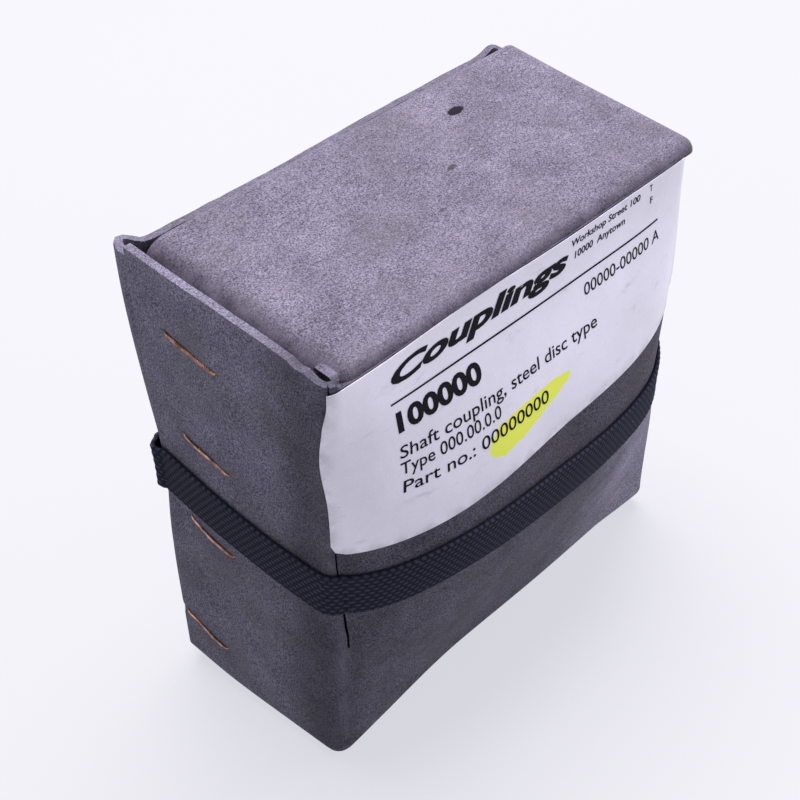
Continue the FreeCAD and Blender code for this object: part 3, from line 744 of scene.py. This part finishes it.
def settle(x, y, z):
    """Points of the worn carton for those of a true box: its back stands a little higher than
    its front, and two bottom corners are crushed."""
    rise = z / HEIGHT
    high = z + TOP_TILT * y * rise
    for corner_x, corner_y, lifted in CRUSHED:
        near = dent((x - corner_x) ** 2 + (y - corner_y) ** 2, CRUSH_REACH)
        high = high + lifted * near * np.clip(1 - z / CRUSH_TOP, 0, 1)
    return np.stack([x - PLAN_SKEW * y, y * (1 + TOP_GROWTH * rise), high], axis=-1)


def wall_points(outline, along, z, lift=0.0):
    """Points on the carton's outside, raised by lift."""
    along, z, lift = np.broadcast_arrays(along, z, lift)
    x, y, out_x, out_y = outline.at(along)
    offset = swell(x, y, out_x, out_y, z) + lift
    return settle(x + out_x * offset, y + out_y * offset, z)


def ragged(values, amount, step=3):
    """Small fixed unevenness for torn and cut edges."""
    rough = random.normal(size=len(values) // step + 2)
    spots = np.arange(len(values)) / step
    return amount * np.interp(spots, np.arange(len(rough)), rough)


# -------- carton pieces

SLIT_PLACE = FRONT_START - 2.2  # path distance of its left side
SLIT_WIDTH = 0.55
SLIT_FOOT = 36.0  # it is open from this height to the top
SLIT_LEAN = 1.5  # towards its foot
GRID_STEP = 1.0
# (distance past the lap's stop, depth, half width) of the notches torn in the rim
RIM_NOTCHES = ((-2.2, 0.9, 1.3), (-0.6, 0.6, 0.8), (1.4, 0.3, 0.9))
RIM_PEAKS = ((BACK_START - 2, 1.5), (BACK_STOP + 3, 1.9))  # (path distance, height)
BEND_STEPS = 7  # rows in a fold
SHEET_STEP = 1.2
# how far in from each edge a fold starts, and how far it goes down: left, right, front, back
LID_REACH = (5.5, 2.6, 2.6, 1.6)
LID_DROP = (4.2, 2.4, 2.6, 1.6)
BASE_REACH = (6.0, 6.0, 8.0, 6.0)
BASE_DROP = (3.0, 3.0, 6.0, 3.0)
CREASE_BOARD = 0.8  # thickness of the board bent at the lid's hinge
EAR_CORNER = 5.0
EAR_BOW = 0.4
TUCK_CORNER = 8.0


def sleeve_columns():
    """Path distances of the grid's columns, with one at each side of the slit."""
    before = np.linspace(0, SLIT_PLACE, int(SLIT_PLACE / GRID_STEP) + 2)
    rest = int((SLEEVE.total - SLIT_PLACE) / GRID_STEP) + 2
    after = np.linspace(SLIT_PLACE + SLIT_WIDTH, SLEEVE.total, rest)
    return np.concatenate([before, after]), len(before) - 1


def top_edge(along):
    """The height of the board's upper edge at each path distance."""
    drop = ease((along - LAP_STOP + 0.5) / 5.0)
    top = np.where(along < FRONT_START, HEIGHT + (WALL_TOP + 1.2 - HEIGHT) * drop, WALL_TOP)
    for place, depth, width in RIM_NOTCHES:
        top = top - depth * np.clip(1 - np.abs(along - LAP_STOP - place) / width, 0, 1)
    for place, rise in RIM_PEAKS:
        top = top + rise * dent((along - place) ** 2, 1.9)
    top = np.where(along > FLAP_START + 3, WALL_TOP - 1.2, top)
    return top + ragged(along, 0.07)


def carton_sleeve():
    """One sheet round the four sides and on inside the stitched end, with an open slit beside
    the front left fold."""
    along, slit = sleeve_columns()
    top = top_edge(along)
    share = np.concatenate([np.linspace(0, 0.05, 7)[:-1], np.linspace(0.05, 1, 100)])
    foot = BOARD * 0.35 + np.where(along > FLAP_START + 1, 16.0, 0.0)
    z = foot + share[:, None] * (top - foot)
    sway = ragged(z[:, 0], 0.05)
    lean = SLIT_LEAN * ease((STRAP_MIDDLE + 10 - z[:, slit]) / 30.0)
    shift = lean[:, None] * fade(along - along[slit], 5.0)
    above = ease((z[:, slit] - SLIT_FOOT) / 4.0)
    shift[:, slit] += sway * above
    shift[:, slit + 1] += (sway - 0.35 * SLIT_WIDTH) * above - SLIT_WIDTH * 0.3 * (1 - above)
    points = wall_points(SLEEVE, along + shift, z)
    skip = np.zeros((len(share) - 1, len(along) - 1), dtype=bool)
    skip[:, slit] = z[:-1, slit] > SLIT_FOOT
    x, _, out_x, out_y = SLEEVE.at(along)
    folded = np.clip((1 - np.maximum(np.abs(out_x), np.abs(out_y))) / 0.29, 0, 1)
    wear = 0.40 * folded + 0.25 * fade(top - z, 0.8) + 0.25 * fade(z, 2.5) + 0.5 * fade(along, 0.7)
    front = np.clip(-out_y, 0, 1) ** 2
    end = np.clip(-out_x, 0, 1) ** 2
    # Painted light: the front wall lighter low down towards its right end, and the stitched end lighter
    # towards its top. Painted shade: a dark band along the front left fold, and a darker front wall.
    dust = front * ease((x - 5) / 40) * ease((58 - z) / 14)
    soil = (0.66 * fade(along - FRONT_START + 8, 6.5) + 0.43 * front) * (1 - dust)
    dust = dust + 0.5 * end * ease((z - 50) / 60)
    board_piece("worn_carton_sleeve", "carton", "carton_sleeve", points, BOARD,
                faces=grid_faces(len(share), len(along), skip=skip),
                wear=np.clip(wear, 0, 1), soil=np.clip(soil, 0, 1), dust=0.75 * dust)


def fold_axis(low, high, reach):
    """Along one axis of a folded sheet: where each row would stand flat, how far it is bent (0
    to 1), and to which side (-1 or 1)."""
    bend = np.linspace(0, 1, BEND_STEPS + 1)
    count = max(int((high - low) / SHEET_STEP), 3)
    flat = np.linspace(low + reach[0], high - reach[1], count)
    place = np.concatenate([np.full(BEND_STEPS, flat[0]), flat, np.full(BEND_STEPS, flat[-1])])
    share = np.concatenate([bend[:0:-1], np.zeros(count), bend[1:]])
    side = np.concatenate([-np.ones(BEND_STEPS), np.zeros(count), np.ones(BEND_STEPS)])
    return place, share, side


def folded_sheet(low, high, reach, drop):
    """A level sheet in x and y whose rim turns down on all sides, its corners rounded in plan.
    Also how far each point is bent, 0 to 1."""
    place_x, share_x, side_x = (a[None, :] for a in fold_axis(low[0], high[0], reach[:2]))
    place_y, share_y, side_y = (a[:, None] for a in fold_axis(low[1], high[1], reach[2:]))
    length = np.maximum(np.hypot(share_x, share_y), 1e-9)
    bend = np.maximum(share_x, share_y)
    out = np.sin(bend * QUARTER) / length
    reach_x, drop_x = (np.where(side_x < 0, sides[0], sides[1]) for sides in (reach, drop))
    reach_y, drop_y = (np.where(side_y < 0, sides[2], sides[3]) for sides in (reach, drop))
    depth = (share_x * drop_x + share_y * drop_y) / np.maximum(share_x + share_y, 1e-9)
    x = place_x + side_x * reach_x * share_x * out
    y = place_y + side_y * reach_y * share_y * out
    z = -depth * (1 - np.cos(bend * QUARTER))
    return x, y, z, bend


def lid_panel():
    """The lid's top. Its left end curls down inside the stitched end wall."""
    x, y, z, bend = folded_sheet(LID_LOW, LID_HIGH - CLEARANCE, LID_REACH, LID_DROP)
    sag = 0.22 * np.sin(x / 21 + 0.4) + 0.15 * np.sin(y / 8 + x / 16)
    sag -= 0.5 * dent((x - 5) ** 2 / 9 + y * y, 14)
    z = z + (LID_HIGH[2] + sag * (1 - bend))
    wear = np.sin(math.pi * np.clip(bend * 0.8, 0, 1)) * 0.35
    # Painted shade: a dark band along the front fold, and the left end dark where it curls down under
    # the end wall's rim.
    soil = 0.55 * ease(bend) * (y < LID_LOW[1] + 3)
    soil = np.maximum(soil, ease((LID_LOW[0] + 7.0 - x) / 6.5))
    board_piece("worn_lid_panel", "lid", "lid_panel", settle(x, y, z), BOARD * 0.85, "lid",
                wear=wear, soil=soil)


def lid_fold():
    """The crease between the front wall and the lid, inside the board. It shows when the lid
    is open."""
    face = BOARD / 2 - WALL_Y
    level = LID_HIGH[2] - BOARD / 2
    path = np.array([(face, WALL_TOP - 4), (face, WALL_TOP - 2), (face, WALL_TOP - 0.5),
                     (face + 0.35, level - 0.7), (face + 1.1, level), (face + 2.6, level),
                     (face + 4.5, level)])
    x, y = np.meshgrid(np.linspace(-FOLD_X, FOLD_X, 60), path[:, 0])
    z = path[:, 1][:, None] + 0 * x
    wear = np.sin(math.pi * np.linspace(0, 1, len(path)))[:, None] + 0 * x
    piece = board_sheet("lid_fold_crease", settle(x, y, z), CREASE_BOARD, wear=wear)
    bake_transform(piece)


def corner_cut(place, low, high, radius):
    """What a sheet's rounded lower corners take off it at each place along it."""
    past = np.clip(np.abs(place - (low + high) / 2) - (high - low) / 2 + radius, 0, radius)
    return radius - np.sqrt(radius ** 2 - past ** 2)


def lid_ear(side, face_sign, top_drop):
    """An ear hanging from an end of the lid, slightly bowed. Its top is top_drop below the CAD's,
    and face_sign says which way its outer face looks along X."""
    low, high = node_box("lid_ear_" + side)
    y, z = np.meshgrid(np.linspace(low[1], high[1], 36), np.linspace(low[2], high[2] - top_drop, 28))
    z = np.maximum(z, low[2] + corner_cut(y, low[1], high[1], EAR_CORNER))
    face_x = high[0] if face_sign > 0 else low[0]
    x = face_x - face_sign * EAR_BOW * np.sin(math.pi * (z - low[2]) / (high[2] - low[2]))
    wear = 0.6 * fade(z - low[2], 1.2)
    board_piece("worn_ear_" + side, "lid", "lid_ear_" + side, settle(x, y, z)[:, ::face_sign],
                high[0] - low[0], wear=wear[:, ::face_sign])


def tuck_flap():
    """The tuck flap curls inwards from the lid's back fold."""
    low, high = node_box("lid_tuck_flap")
    length = high[2] - low[2]
    x, share = np.meshgrid(np.linspace(low[0], high[0], 80), np.linspace(0, 1, 18))
    y = high[1] - (high[1] - low[1] - BOARD) * 1.02 * share ** 1.15
    limit = length - corner_cut(x, low[0], high[0], TUCK_CORNER)
    z = high[2] - np.minimum(share * length, limit)
    wear = np.clip(0.5 * fade(share * length, 1.5) + 0.5 * (share == 1), 0, 1)
    board_piece("worn_tuck_flap", "tuck_flap", "lid_tuck_flap", settle(x, y, z), BOARD, wear=wear)


def bottom_panel():
    """The base: its rim turns up into the walls, and follows the front wall's tucked foot."""
    x, y, z, bend = folded_sheet(BASE_LOW + CLEARANCE, BASE_HIGH - CLEARANCE, BASE_REACH, BASE_DROP)
    y = y + FRONT_TUCK * front_tuck(x) * ease((14 - WALL_Y - y) / 12)
    board_piece("worn_bottom_panel", "carton", "bottom_panel", settle(x, y, -z)[:, ::-1],
                BOARD * 0.9, wear=bend[:, ::-1] * 0.5)


def inside_front(x, z):
    """Y just inside the front wall's inner face."""
    outer = -WALL_Y - swell(x, -WALL_Y, 0 * x, 0 * x - 1, z)
    return outer + BOARD + CLEARANCE


def floor_flap(node):
    """A flap glued over the base, trimmed where the front wall's foot is tucked in."""
    low, high = node_box(node)
    x, y = np.meshgrid(np.linspace(low[0], high[0], 44), np.linspace(low[1], high[1], 30))
    y = np.maximum(y, inside_front(x, low[2] + 0 * x))
    points = settle(x, y, high[2] + 0 * x)
    board_piece("worn_" + node, "carton", node, points, high[2] - low[2], wear=0 * x)


# -------- label

LABEL_LEFT = FRONT_START - 3.0
LABEL_END = PLAIN_START + 2.6
CORNER_ROUND = 2.6
LABEL_RISE = (-3.6, 1.2, 3.6)  # its lower edge above the CAD's: left end, middle, right end
LABEL_LIFT = 0.18
END_LIFT = 1.6  # at the free end's foot
PAPER_THICKNESS = 0.14
# the felt-pen mark in millimetres on the label: a point and slope of its middle line, its half
# width at places along it, and its two ends
PEN_MIDDLE = (38, 75.9, 0.14)
PEN_ACROSS = (34, 39, 46, 56, 62)
PEN_HALF = (0.6, 3.2, 2.9, 1.9, 0.5)
PEN_ENDS = (34, 64)


def label_lift(along, z):
    """The label's free end stands off the carton beyond the fold, more so low down."""
    past_fold = ease((along - FRONT_STOP + 1) / 9.0)
    x, y, _, _ = SLEEVE.at(along)
    low_down = ease((LABEL_TOP - z) / 30.0)
    curl = 0.35 * fade(along - LABEL_LEFT, 2.0) * ease((z - LABEL_FOOT) / 20)
    return LABEL_LIFT + (END_LIFT * low_down + strap_pinch(x, y, z)) * past_fold + curl


def print_point(across, z):
    """A point on the label's face, across millimetres from the carton's front left edge."""
    along = FRONT_START - FOLD + across
    return wall_points(SLEEVE, along, z, label_lift(along, z) + INK_LIFT)


def pen_mark(across, z):
    """Where the felt pen went, 0 to 1."""
    middle = PEN_MIDDLE[1] + PEN_MIDDLE[2] * (across - PEN_MIDDLE[0])
    half = np.interp(across, PEN_ACROSS, PEN_HALF)
    ends = ease((across - PEN_ENDS[0]) / 3) * ease((PEN_ENDS[1] - across) / 4)
    return ends * ease((half + 0.9 - np.abs(z - middle)) / 1.8)


def address_label():
    """Paper, with its left edge wavering beside the slit and its lower left corner round."""
    up = np.linspace(0, 1, 52)[:, None]
    share = np.linspace(0, 1, 130)
    height = LABEL_FOOT + up * (LABEL_TOP - LABEL_FOOT)
    waver = 0.5 * ease((height - 98) / 6) - 1.1 * fade(height - 90, 8.5)
    left = LABEL_LEFT + waver
    along = left + share * (LABEL_END - left)
    inset = np.clip(CORNER_ROUND - (along - LABEL_LEFT), 0, CORNER_ROUND)
    rising = np.interp(share, (0, 0.5, 1), LABEL_RISE)
    lowest = LABEL_FOOT + rising + CORNER_ROUND - np.sqrt(CORNER_ROUND ** 2 - inset ** 2)
    z = lowest + up * (LABEL_TOP - lowest)
    points = wall_points(SLEEVE, along, z, label_lift(along, z))
    edge = np.minimum(np.minimum(along - left, z - lowest), LABEL_END - along)
    piece = make_piece("paper_label", points, grid_faces(*z.shape), wear=fade(edge, 1.6),
                       marker=pen_mark(along - FRONT_START + FOLD, z))
    dress(piece, "paper")
    thicken(piece, PAPER_THICKNESS)
    finish_piece(piece, "carton", "label_paper", ("paper",), "address_label")


CAP_SHARE = 0.73  # cap height as a share of the built-in face's size


def text_outline(words, width, cap_height, slant, weight):
    """A line of lettering as triangles in millimetres, scaled to a width and cap height."""
    curve = bpy.data.curves.new("lettering", "FONT")
    curve.body = words
    curve.size = 1.0
    curve.shear = slant
    curve.offset = weight
    curve.resolution_u = 4
    made = link_object("lettering", curve)
    mesh = evaluated_mesh(made)
    corners = np.array([vertex.co[:2] for vertex in mesh.vertices])
    faces = [tuple(polygon.vertices) for polygon in mesh.polygons]
    bpy.data.objects.remove(made)
    corners[:, 0] -= corners[:, 0].min()
    corners[:, 0] *= width / corners[:, 0].max()
    corners[:, 1] *= cap_height / CAP_SHARE
    return corners, faces


# lettering: cap height, slant and weight
HEADING = (4.0, 0.35, 0.04)
NUMBER = (4.3, 0.0, 0.04)
ADDRESS = (1.5, 0.2, 0.016)
INITIAL = (1.5, 0.0, 0.016)
CODE = (2.6, 0.15, 0.004)
TEXT = (2.7, 0.12, 0.006)
# words, left edge, width and baseline in millimetres on the label, and lettering
PRINT_LINES = (
    ("Couplings", 16.0, 51.3, 100.0, HEADING),
    ("Workshop Street 100", 68.5, 22.7, 103.6, ADDRESS),
    ("10000  Anytown", 69.0, 16.7, 100.8, ADDRESS),
    ("T", 94.5, 0.9, 104.0, INITIAL),
    ("F", 94.5, 0.9, 101.2, INITIAL),
    ("100000", 15.9, 22.3, 90.0, NUMBER),
    ("00000-00000 A", 70.4, 26.5, 91.8, CODE),
    ("Shaft coupling, steel disc type", 15.2, 57.1, 84.4, TEXT),
    ("Type 000.00.0.0", 14.9, 25.6, 80.9, TEXT),
    ("Part no.: 00000000", 14.5, 39.7, 76.9, TEXT),
)
RULE = (15.2, 96.9, 96.2, 0.4)  # left, right, height and thickness
INK_LIFT = 0.05


def label_print():
    blocks = []
    for words, left, width, baseline, (cap, slant, weight) in PRINT_LINES:
        corners, shapes = text_outline(words, width, cap, slant, weight)
        placed = print_point(left + corners[:, 0], baseline + corners[:, 1])
        blocks.append((placed, shapes))
    left, right, height, thick = RULE
    across, up = np.meshgrid(np.linspace(left, right, 90), (height, height + thick))
    blocks.append((print_point(across, up), grid_faces(*across.shape)))
    piece = make_piece("label_print", *joined(blocks), smooth=False)
    finish_piece(piece, "carton", "label_paper", ("ink",))


# -------- strap

YARN_PITCH = 1.0  # between the rows of yarn
DASH_PITCH = 1.5  # between the floats in a row
YARN_HEIGHT = 0.16
STRAP_LIFT = 0.25  # off the board
STRAP_THICKNESS = 1.0
STRAP_SPREAD = 0.3  # wider than the CAD's, each side
STRAP_STEP = 0.375
LAP_LIFT = 1.25  # the sewn lap's, off the board
LAP_THICKNESS = 0.8
LAP_HALF_LENGTH = 8.0
THREAD_STARTS = (-6.5, 4.5)  # from the lap's middle
THREAD_TURNS = 13
THREAD_RADIUS = 0.22
# the strap's height at places round the carton: (stretch of the loop, share of it, height)
STRAP_PLACES = ((0, 0.0, 57.0), (0, 1.0, 53.4), (2, 0.0, 53.0), (2, 0.2, 55.4), (2, 0.45, 54.8),
                (2, 0.7, 53.8), (2, 1.0, 53.4), (4, 0.5, 54.0), (6, 0.0, 55.5), (6, 1.0, 57.0))


def strap_centre(along):
    """The strap's height, smoothed between the places in STRAP_PLACES."""
    place = [LOOP.starts[stretch] + share * LOOP.lengths[stretch] for stretch, share, _ in STRAP_PLACES]
    height = [level for _, _, level in STRAP_PLACES]
    spread = np.linspace(-7, 7, 9)
    return np.mean([np.interp(along + step, place, height, period=LOOP.total) for step in spread],
                   axis=0)


def lap_dip(along):
    """How far the strap falls back, round the back left fold, from the lap to the board under it."""
    _, _, out_x, out_y = LOOP.at(along)
    side = np.clip(-out_x, 0, 1) * (out_y > 1e-6)
    return (BOARD + LAP_GAP) * side * (1 - ease((side - 0.57) / 0.40))


def band(name, along, closed, lift, half_width, thick):
    """A woven band: rows of short yarn floats, staggered row by row, on its outer face."""
    across = np.linspace(-1, 1, 4 * int(2 * half_width / YARN_PITCH) + 1) * half_width
    row = np.floor((across + half_width) / YARN_PITCH)
    ridge = np.abs(np.sin(math.pi * (across + half_width) / YARN_PITCH)) ** 0.7
    dash = np.abs(np.sin(math.pi * (along[:, None] / DASH_PITCH + 0.5 * (row % 2)))) ** 0.6
    crown = ridge * dash
    inner = np.linspace(1, -1, 7)
    offsets = np.concatenate([across, inner * (half_width - 0.1)])
    flat = np.zeros((len(along), len(inner)))
    lifts = np.concatenate([lift + thick - YARN_HEIGHT + YARN_HEIGHT * crown, flat + lift], axis=1)
    lifts[:, (0, len(across) - 1)] = lift + thick * 0.55
    z = strap_centre(along)[:, None] + offsets
    points = wall_points(LOOP, along[:, None], z, lifts - lap_dip(along)[:, None])
    size = len(offsets)
    faces = grid_faces(len(along), size, wrap_rows=closed, wrap_columns=True)
    if not closed:
        last = (len(along) - 1) * size
        faces.append(tuple(range(size)))
        faces.append(tuple(last + index for index in reversed(range(size))))
    crowns = np.concatenate([crown, flat], axis=1)
    piece = make_piece(name, points, faces, crown=crowns)
    piece.data.flip_normals()
    sharpen(piece, 60)
    return piece


def elastic_strap():
    along = np.linspace(0, LOOP.total, int(LOOP.total / STRAP_STEP), endpoint=False)
    half_width = STRAP_WIDTH / 2 + STRAP_SPREAD
    piece = band("woven_strap", along, True, STRAP_LIFT, half_width, STRAP_THICKNESS)
    finish_piece(piece, "strap", "woven_elastic", ("elastic",), "elastic_strap")


def strap_seam():
    """The sewn lap at the back, with its zigzag thread."""
    middle = (LOOP.starts[6] + LOOP.starts[7]) / 2
    along = np.linspace(middle - LAP_HALF_LENGTH, middle + LAP_HALF_LENGTH, 44)
    piece = band("strap_lap", along, False, LAP_LIFT, STRAP_WIDTH / 2, LAP_THICKNESS)
    finish_piece(piece, "strap", "woven_elastic", ("elastic",), "strap_seam")
    paths = []
    for start in THREAD_STARTS:
        steps = np.linspace(-STRAP_WIDTH / 2 + 1, STRAP_WIDTH / 2 - 1, THREAD_TURNS)
        side = middle + start + np.where(np.arange(THREAD_TURNS) % 2, 2.0, 0.0)
        height = strap_centre(side) + steps
        paths.append(wall_points(LOOP, side, height, LAP_LIFT + LAP_THICKNESS + 0.05))
    threads = tube_mesh("seam_thread", paths, THREAD_RADIUS)
    finish_piece(threads, "strap", "woven_elastic", ("thread",))


def rod_faces(rows, sides):
    """Faces of a closed rod made of rings of points."""
    faces = grid_faces(rows, sides, wrap_columns=True)
    faces.append(tuple(reversed(range(sides))))
    faces.append(tuple((rows - 1) * sides + index for index in range(sides)))
    return faces


def tube_mesh(name, paths, radius, sides=6):
    """Round thread along each list of points."""
    blocks = []
    for path in paths:
        tangent = np.gradient(path, axis=0)
        tangent /= np.linalg.norm(tangent, axis=1)[:, None]
        side = np.cross(tangent, np.array([0.0, 1.0, 0.0]))
        side /= np.linalg.norm(side, axis=1)[:, None]
        other = np.cross(tangent, side)
        angle = np.arange(sides) * 2 * math.pi / sides
        ring = (np.cos(angle)[None, :, None] * side[:, None, :]
                + np.sin(angle)[None, :, None] * other[:, None, :])
        blocks.append((path[:, None, :] + radius * ring, rod_faces(len(path), sides)))
    return make_piece(name, *joined(blocks))


# -------- wire stitches

# the flattened wire's section, as shares of its width and half its thickness
WIRE_SECTION = ((-0.5, 0.0), (-0.38, 0.8), (0.38, 0.8), (0.5, 0.0), (0.38, -0.6), (-0.38, -0.6))
WIRE_WIDTH = 0.82
WIRE_THICKNESS = 0.42


def wire_stitches():
    """Flat copper wire: each crown lies on the board and its ends dive into it."""
    share = np.linspace(-1, 1, 41)
    blocks = []
    for number, (centre_y, centre_z, lean) in enumerate(STITCHES):
        tilt = math.radians(lean)
        run = share * STITCH_LENGTH / 2
        dive = ease((np.abs(share) - 0.93) / 0.07)
        lift = 0.20 + 0.10 * np.sin(3.5 * share + number) - 1.4 * dive
        sideways = 0.10 * np.sin(4 * share + number * 2.1)
        y = centre_y + run * math.cos(tilt) - sideways * math.sin(tilt)
        z = centre_z + run * math.sin(tilt) + sideways * math.cos(tilt)
        rings = []
        for across, out in WIRE_SECTION:
            ring_y = y - across * WIRE_WIDTH * math.sin(tilt)
            ring_z = z + across * WIRE_WIDTH * math.cos(tilt)
            along = (WALL_Y - LAP_SET_BACK) - ring_y
            rings.append(wall_points(SLEEVE, along, ring_z, lift + out * WIRE_THICKNESS / 2))
        blocks.append((np.stack(rings, axis=1), rod_faces(len(share), len(WIRE_SECTION))))
    piece = make_piece("copper_stitches", *joined(blocks))
    sharpen(piece, 50)
    finish_piece(piece, "carton", "copper_wire", ("copper",), "wire_stitches")


# -------- foam

def soft_copy(node, name, voxel, rough):
    """A foam block: the CAD solid remeshed, softened at its edges, pitted, and kept inside the
    front wall."""
    piece = link_object(name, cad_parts[node].data.copy())
    remesh = piece.modifiers.new("remesh", "REMESH")
    remesh.mode = "VOXEL"
    remesh.voxel_size = voxel * MM
    soften = piece.modifiers.new("soften", "SMOOTH")
    soften.factor = 0.6
    soften.iterations = 3
    apply_modifiers(piece)
    mesh = piece.data
    places = np.array([vertex.co for vertex in mesh.vertices])
    normals = np.array([vertex.normal for vertex in mesh.vertices])
    pits = -np.abs(random.normal(size=(len(places), 1))) * rough * MM
    moved = places + normals * pits
    moved[:, 1] = np.maximum(moved[:, 1], inside_front(moved[:, 0] / MM, moved[:, 2] / MM) * MM)
    mesh.vertices.foreach_set("co", moved.ravel())
    smooth_faces(mesh)
    mesh.update()
    finish_piece(piece, "carton", "packing_foam", ("foam",), node)


# -------- the coupling

COUPLING_LOOKS = {
    "hub_": "aluminium", "disc_pack_": "spring", "clamp_screw_": "black_steel",
    "hub_bolts_": "black_steel", "sleeve_bolts_": "black_steel", "hub_nuts_": "zinc",
    "hub_washers_": "zinc", "hub_bushes_": "zinc", "sleeve_washers_": "zinc",
    "sleeve_bushes_": "zinc",
}


def dress_coupling():
    """The coupling's CAD nodes keep their shapes and take materials."""
    dress(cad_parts["centre_sleeve"], "aluminium")
    for kind, look in COUPLING_LOOKS.items():
        for side in ("a", "b"):
            dress(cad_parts[kind + side], look)


FLOOR_HALF = 3000.0
FLOOR_LEVEL = -0.05


def make_floor():
    corners = np.array([(across * FLOOR_HALF, back * FLOOR_HALF, FLOOR_LEVEL)
                        for across, back in ((-1, -1), (1, -1), (1, 1), (-1, 1))])
    floor = make_piece("floor", corners, [(0, 1, 2, 3)], smooth=False)
    dress(floor, "floor")


# -------- build

make_camera()
make_lights()
make_floor()

carton_sleeve()
lid_panel()
lid_fold()
lid_ear("left", -1, 1.7)
lid_ear("right", 1, 0.0)
tuck_flap()
bottom_panel()
for flap in ("bottom_dust_flap_left", "bottom_dust_flap_right", "bottom_back_flap"):
    floor_flap(flap)
address_label()
label_print()
elastic_strap()
strap_seam()
wire_stitches()
soft_copy("foam_cradle", "foam_block", 1.1, 0.10)
soft_copy("front_packing_pad", "foam_pad", 0.9, 0.08)
dress_coupling()
